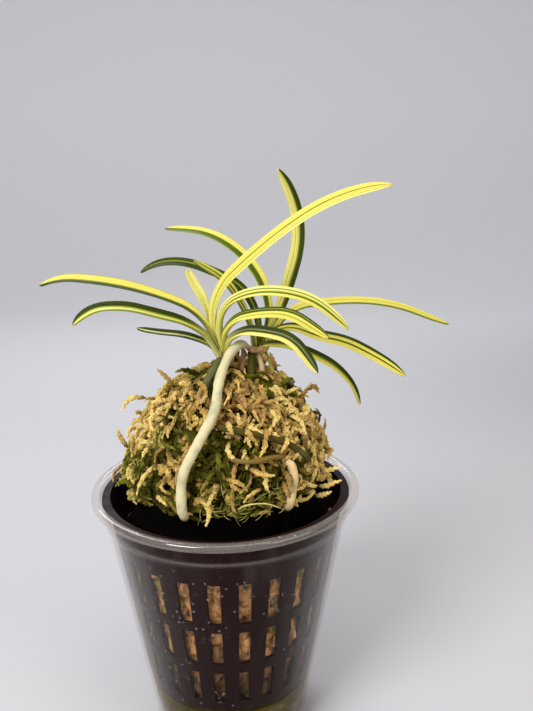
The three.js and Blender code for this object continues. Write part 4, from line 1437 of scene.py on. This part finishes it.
def dry_sheath(bm, root, tip):
    """A small pointed papery scale that curls along its length."""
    root, tip = Vector(root), Vector(tip)
    middle = root.lerp(tip, 0.5) - Vector((0, 0.0005, 0))
    frames = path_frames(smooth_path([root, middle, tip], SCALE_ROWS + 1))

    def place(share, turn):
        point, side, up = frames[round(share * SCALE_ROWS)]
        half = SCALE_HALF * math.sin(math.pi * (0.12 + 0.88 * share)) ** 0.8
        curl = 0.35 * math.cos(turn) ** 2
        return point + side * math.cos(turn) * half + up * (math.sin(turn) * SCALE_THICK + curl * half)

    swept(bm, SCALE_SIDES, SCALE_ROWS, place)


class MakeCrowns(bpy.types.Operator):
    """Make the short ringed stem and dry sheaths at the foot of each fan"""
    bl_idname = "orchid.make_crowns"
    bl_label = "Crowns"

    def execute(self, context):
        settings = context.scene.orchid_leaf
        for fan, values in FANS.items():
            bm = bmesh.new()
            crown_stem(bm, Vector(values["foot"]), fan)
            for root, tip in DRY_SHEATHS[fan]:
                dry_sheath(bm, root, tip)
            outward(bm)
            material = crown_material("crown_" + fan, settings, settings.lime)
            add_piece("crown_" + fan, bm, material, [values["stem"]])
        bm = bmesh.new()
        root_skin(bm, RING_RADIUS, NODE_RING, 0.2, rows=40, sides=14)
        add_piece("node_ring", bm, crown_material("node_ring", settings, RING_PINK))
        return {"FINISHED"}


# ---- the roots ----
def root_material(name, tint, settings):
    """A velvety skin in blotches, with painted shade where it goes down into the basket."""
    material, graph = new_material(name)
    velvet = grain(graph, own_place(graph), 1300)
    blotch = grain(graph, own_place(graph), 150, 4)
    base = mix(graph, tint, Vector(tint) * 0.72, level(graph, blotch, 0.5, 0.72) * 0.8)
    base = mix(graph, base, settings.grey_root, level(graph, blotch, 0.5, 0.3) * 0.4)
    base = mix(graph, base, settings.old_root, level(graph, velvet, 0.64, 0.78) * 0.3)
    # painted shade: near black where the root dips into the shaded gap at the rim
    base = mix(graph, base, ROOT_GAP_SHADE, level(graph, own_axis(graph, "Z"), *ROOT_SHADE))
    output(graph, surface(graph, {
        "Base Color": base, "Roughness": 0.78, "Specular IOR Level": 0.1,
        "Normal": bump(graph, velvet * 0.6 + blotch, 0.0003, 0.8)}))
    return material


def root_skin(bm, radius, points, swell, rows=72, sides=16):
    """A blunt root along a path, whose thickness is uneven by a share."""
    def thickness(share, turn, point):
        bumps = 2 * noise.noise(point * 260) + noise.noise(point * 700 + Vector((turn, 0, 0)))
        blunt = min(1, 10 * share + 0.02, 10 * (1 - share) + 0.02) ** 0.5
        return radius * (1 + swell * bumps) * blunt

    tube(bm, points, sides, rows, thickness)
    outward(bm)


class MakeRoots(bpy.types.Operator):
    """Make the velvety roots and the dry twig"""
    bl_idname = "orchid.make_roots"
    bl_label = "Roots"

    def execute(self, context):
        settings = context.scene.orchid_root
        for name, (radius, finish, points) in ROOTS.items():
            bm = bmesh.new()
            root_skin(bm, radius, points, settings.swell)
            tint = linear(*ROOT_TINTS[name]) if name in ROOT_TINTS else getattr(settings, finish)
            material = root_material(name + "_skin", tint, settings)
            add_piece("velvet_" + name, bm, material, [name])
        bm = bmesh.new()
        root_skin(bm, TWIG_RADIUS, TWIG, settings.swell * 1.5, rows=40, sides=10)
        add_piece("dry_twig", bm, root_material("dry_twig", TWIG_BROWN, settings))
        return {"FINISHED"}


# ---- the studio ----
def backdrop_material(settings):
    """A plain sheet that glows a little towards the back, where the lights don't reach."""
    material, graph = new_material("backdrop")
    glow = mix(graph, (0, 0, 0), settings.backdrop, level(graph, own_axis(graph, "Y"), *GLOW_FROM))
    output(graph, surface(graph, {"Base Color": rgba(settings.backdrop), "Roughness": 0.9,
                                  "Emission Color": glow, "Emission Strength": settings.glow}))
    return material


def add_backdrop(settings):
    """A floor that curves up into a wall behind the object."""
    bm = bmesh.new()
    bend = [(BEND_START + BEND_RADIUS * math.sin(angle), BEND_RADIUS * (1 - math.cos(angle)))
            for angle in (TURN / 4 * step / BEND_STEPS for step in range(BEND_STEPS + 1))]
    profile = [(FLOOR_FRONT, 0), *bend, (BEND_START + BEND_RADIUS, SHEET_HALF)]
    edges = line_of(bm, [(-SHEET_HALF, y, z) for y, z in profile])[1]
    made = bmesh.ops.extrude_edge_only(bm, edges=edges)
    far_side = [item for item in made["geom"] if isinstance(item, bmesh.types.BMVert)]
    bmesh.ops.translate(bm, verts=far_side, vec=(2 * SHEET_HALF, 0, 0))
    mesh = as_mesh("backdrop", bm)
    mesh.polygons.foreach_set("use_smooth", [True] * len(mesh.polygons))
    mesh.materials.append(backdrop_material(settings))
    backdrop = placed("backdrop", mesh)


def add_lights(settings):
    """Soft lights round the object, all turned to its middle."""
    for name, (place, across, watts, tint) in LIGHTS.items():
        light = bpy.data.lights.new(name, "AREA")
        light.size = across
        light.energy = getattr(settings, watts)
        light.color = tint
        lamp = placed(name, light)
        lamp.location = place
        lamp.rotation_euler = (LIGHTS_AIM - Vector(place)).to_track_quat("-Z", "Y").to_euler()


def add_surroundings(scene, brightness):
    """Even light from all sides, and colours shown as they are."""
    world = bpy.data.worlds.new("surroundings")
    world.use_nodes = True
    sky = world.node_tree.nodes["Background"]
    sky.inputs["Color"].default_value = SKY_TINT
    sky.inputs["Strength"].default_value = brightness
    scene.world = world
    scene.view_settings.view_transform = "Standard"


def add_camera(scene, lens_length):
    """The camera, turned to its own way and rolled a little."""
    right = CAMERA_WAY.cross(Vector((0, 0, 1))).normalized()
    up = right.cross(CAMERA_WAY).normalized()
    turned_right = math.cos(CAMERA_ROLL) * right + math.sin(CAMERA_ROLL) * up
    turned_up = math.cos(CAMERA_ROLL) * up - math.sin(CAMERA_ROLL) * right
    lens = bpy.data.cameras.new("camera")
    lens.lens = lens_length
    lens.clip_start = CAMERA_NEAR
    camera = placed("camera", lens)
    axes = Matrix((turned_right, turned_up, -CAMERA_WAY.normalized())).transposed()
    camera.matrix_world = Matrix.Translation(CAMERA_PLACE) @ axes.to_4x4()
    scene.camera = camera


class MakeStudio(bpy.types.Operator):
    """Make the pale backdrop, the soft lights and the camera"""
    bl_idname = "orchid.make_studio"
    bl_label = "Studio"

    def execute(self, context):
        settings = context.scene.orchid_studio
        add_backdrop(settings)
        add_lights(settings)
        add_surroundings(context.scene, settings.sky)
        add_camera(context.scene, settings.lens)
        return {"FINISHED"}


OPERATORS = [MakeCup, MakeBasket, MakeWater, MakeMossCore, MakeBarkFill, MakeMossSprigs, MakeMossCurls,
             MakeCrowns, MakeLeaves, MakeRoots, MakeStudio]


class ORCHID_PT_panel(bpy.types.Panel):
    """Lists the pieces of the potted orchid and their settings"""
    bl_label = "Potted wind orchid"
    bl_space_type = "VIEW_3D"
    bl_region_type = "UI"
    bl_category = "Orchid"

    def draw(self, context):
        for name, group in SETTINGS.items():
            box = self.layout.box()
            for setting in group.__annotations__:
                box.prop(getattr(context.scene, name), setting)
        for operator in OPERATORS:
            self.layout.operator(operator.bl_idname)


def register():
    for group in SETTINGS.values():
        bpy.utils.register_class(group)
    for name, group in SETTINGS.items():
        setattr(bpy.types.Scene, name, PointerProperty(type=group))
    for item in OPERATORS + [ORCHID_PT_panel]:
        bpy.utils.register_class(item)


def unregister():
    for item in [ORCHID_PT_panel] + OPERATORS[::-1]:
        bpy.utils.unregister_class(item)
    for name, group in SETTINGS.items():
        delattr(bpy.types.Scene, name)
        bpy.utils.unregister_class(group)


def main():
    register()
    for operator in OPERATORS:
        family, name = operator.bl_idname.split(".")
        getattr(getattr(bpy.ops, family), name)()


if __name__ == "__main__":
    main()
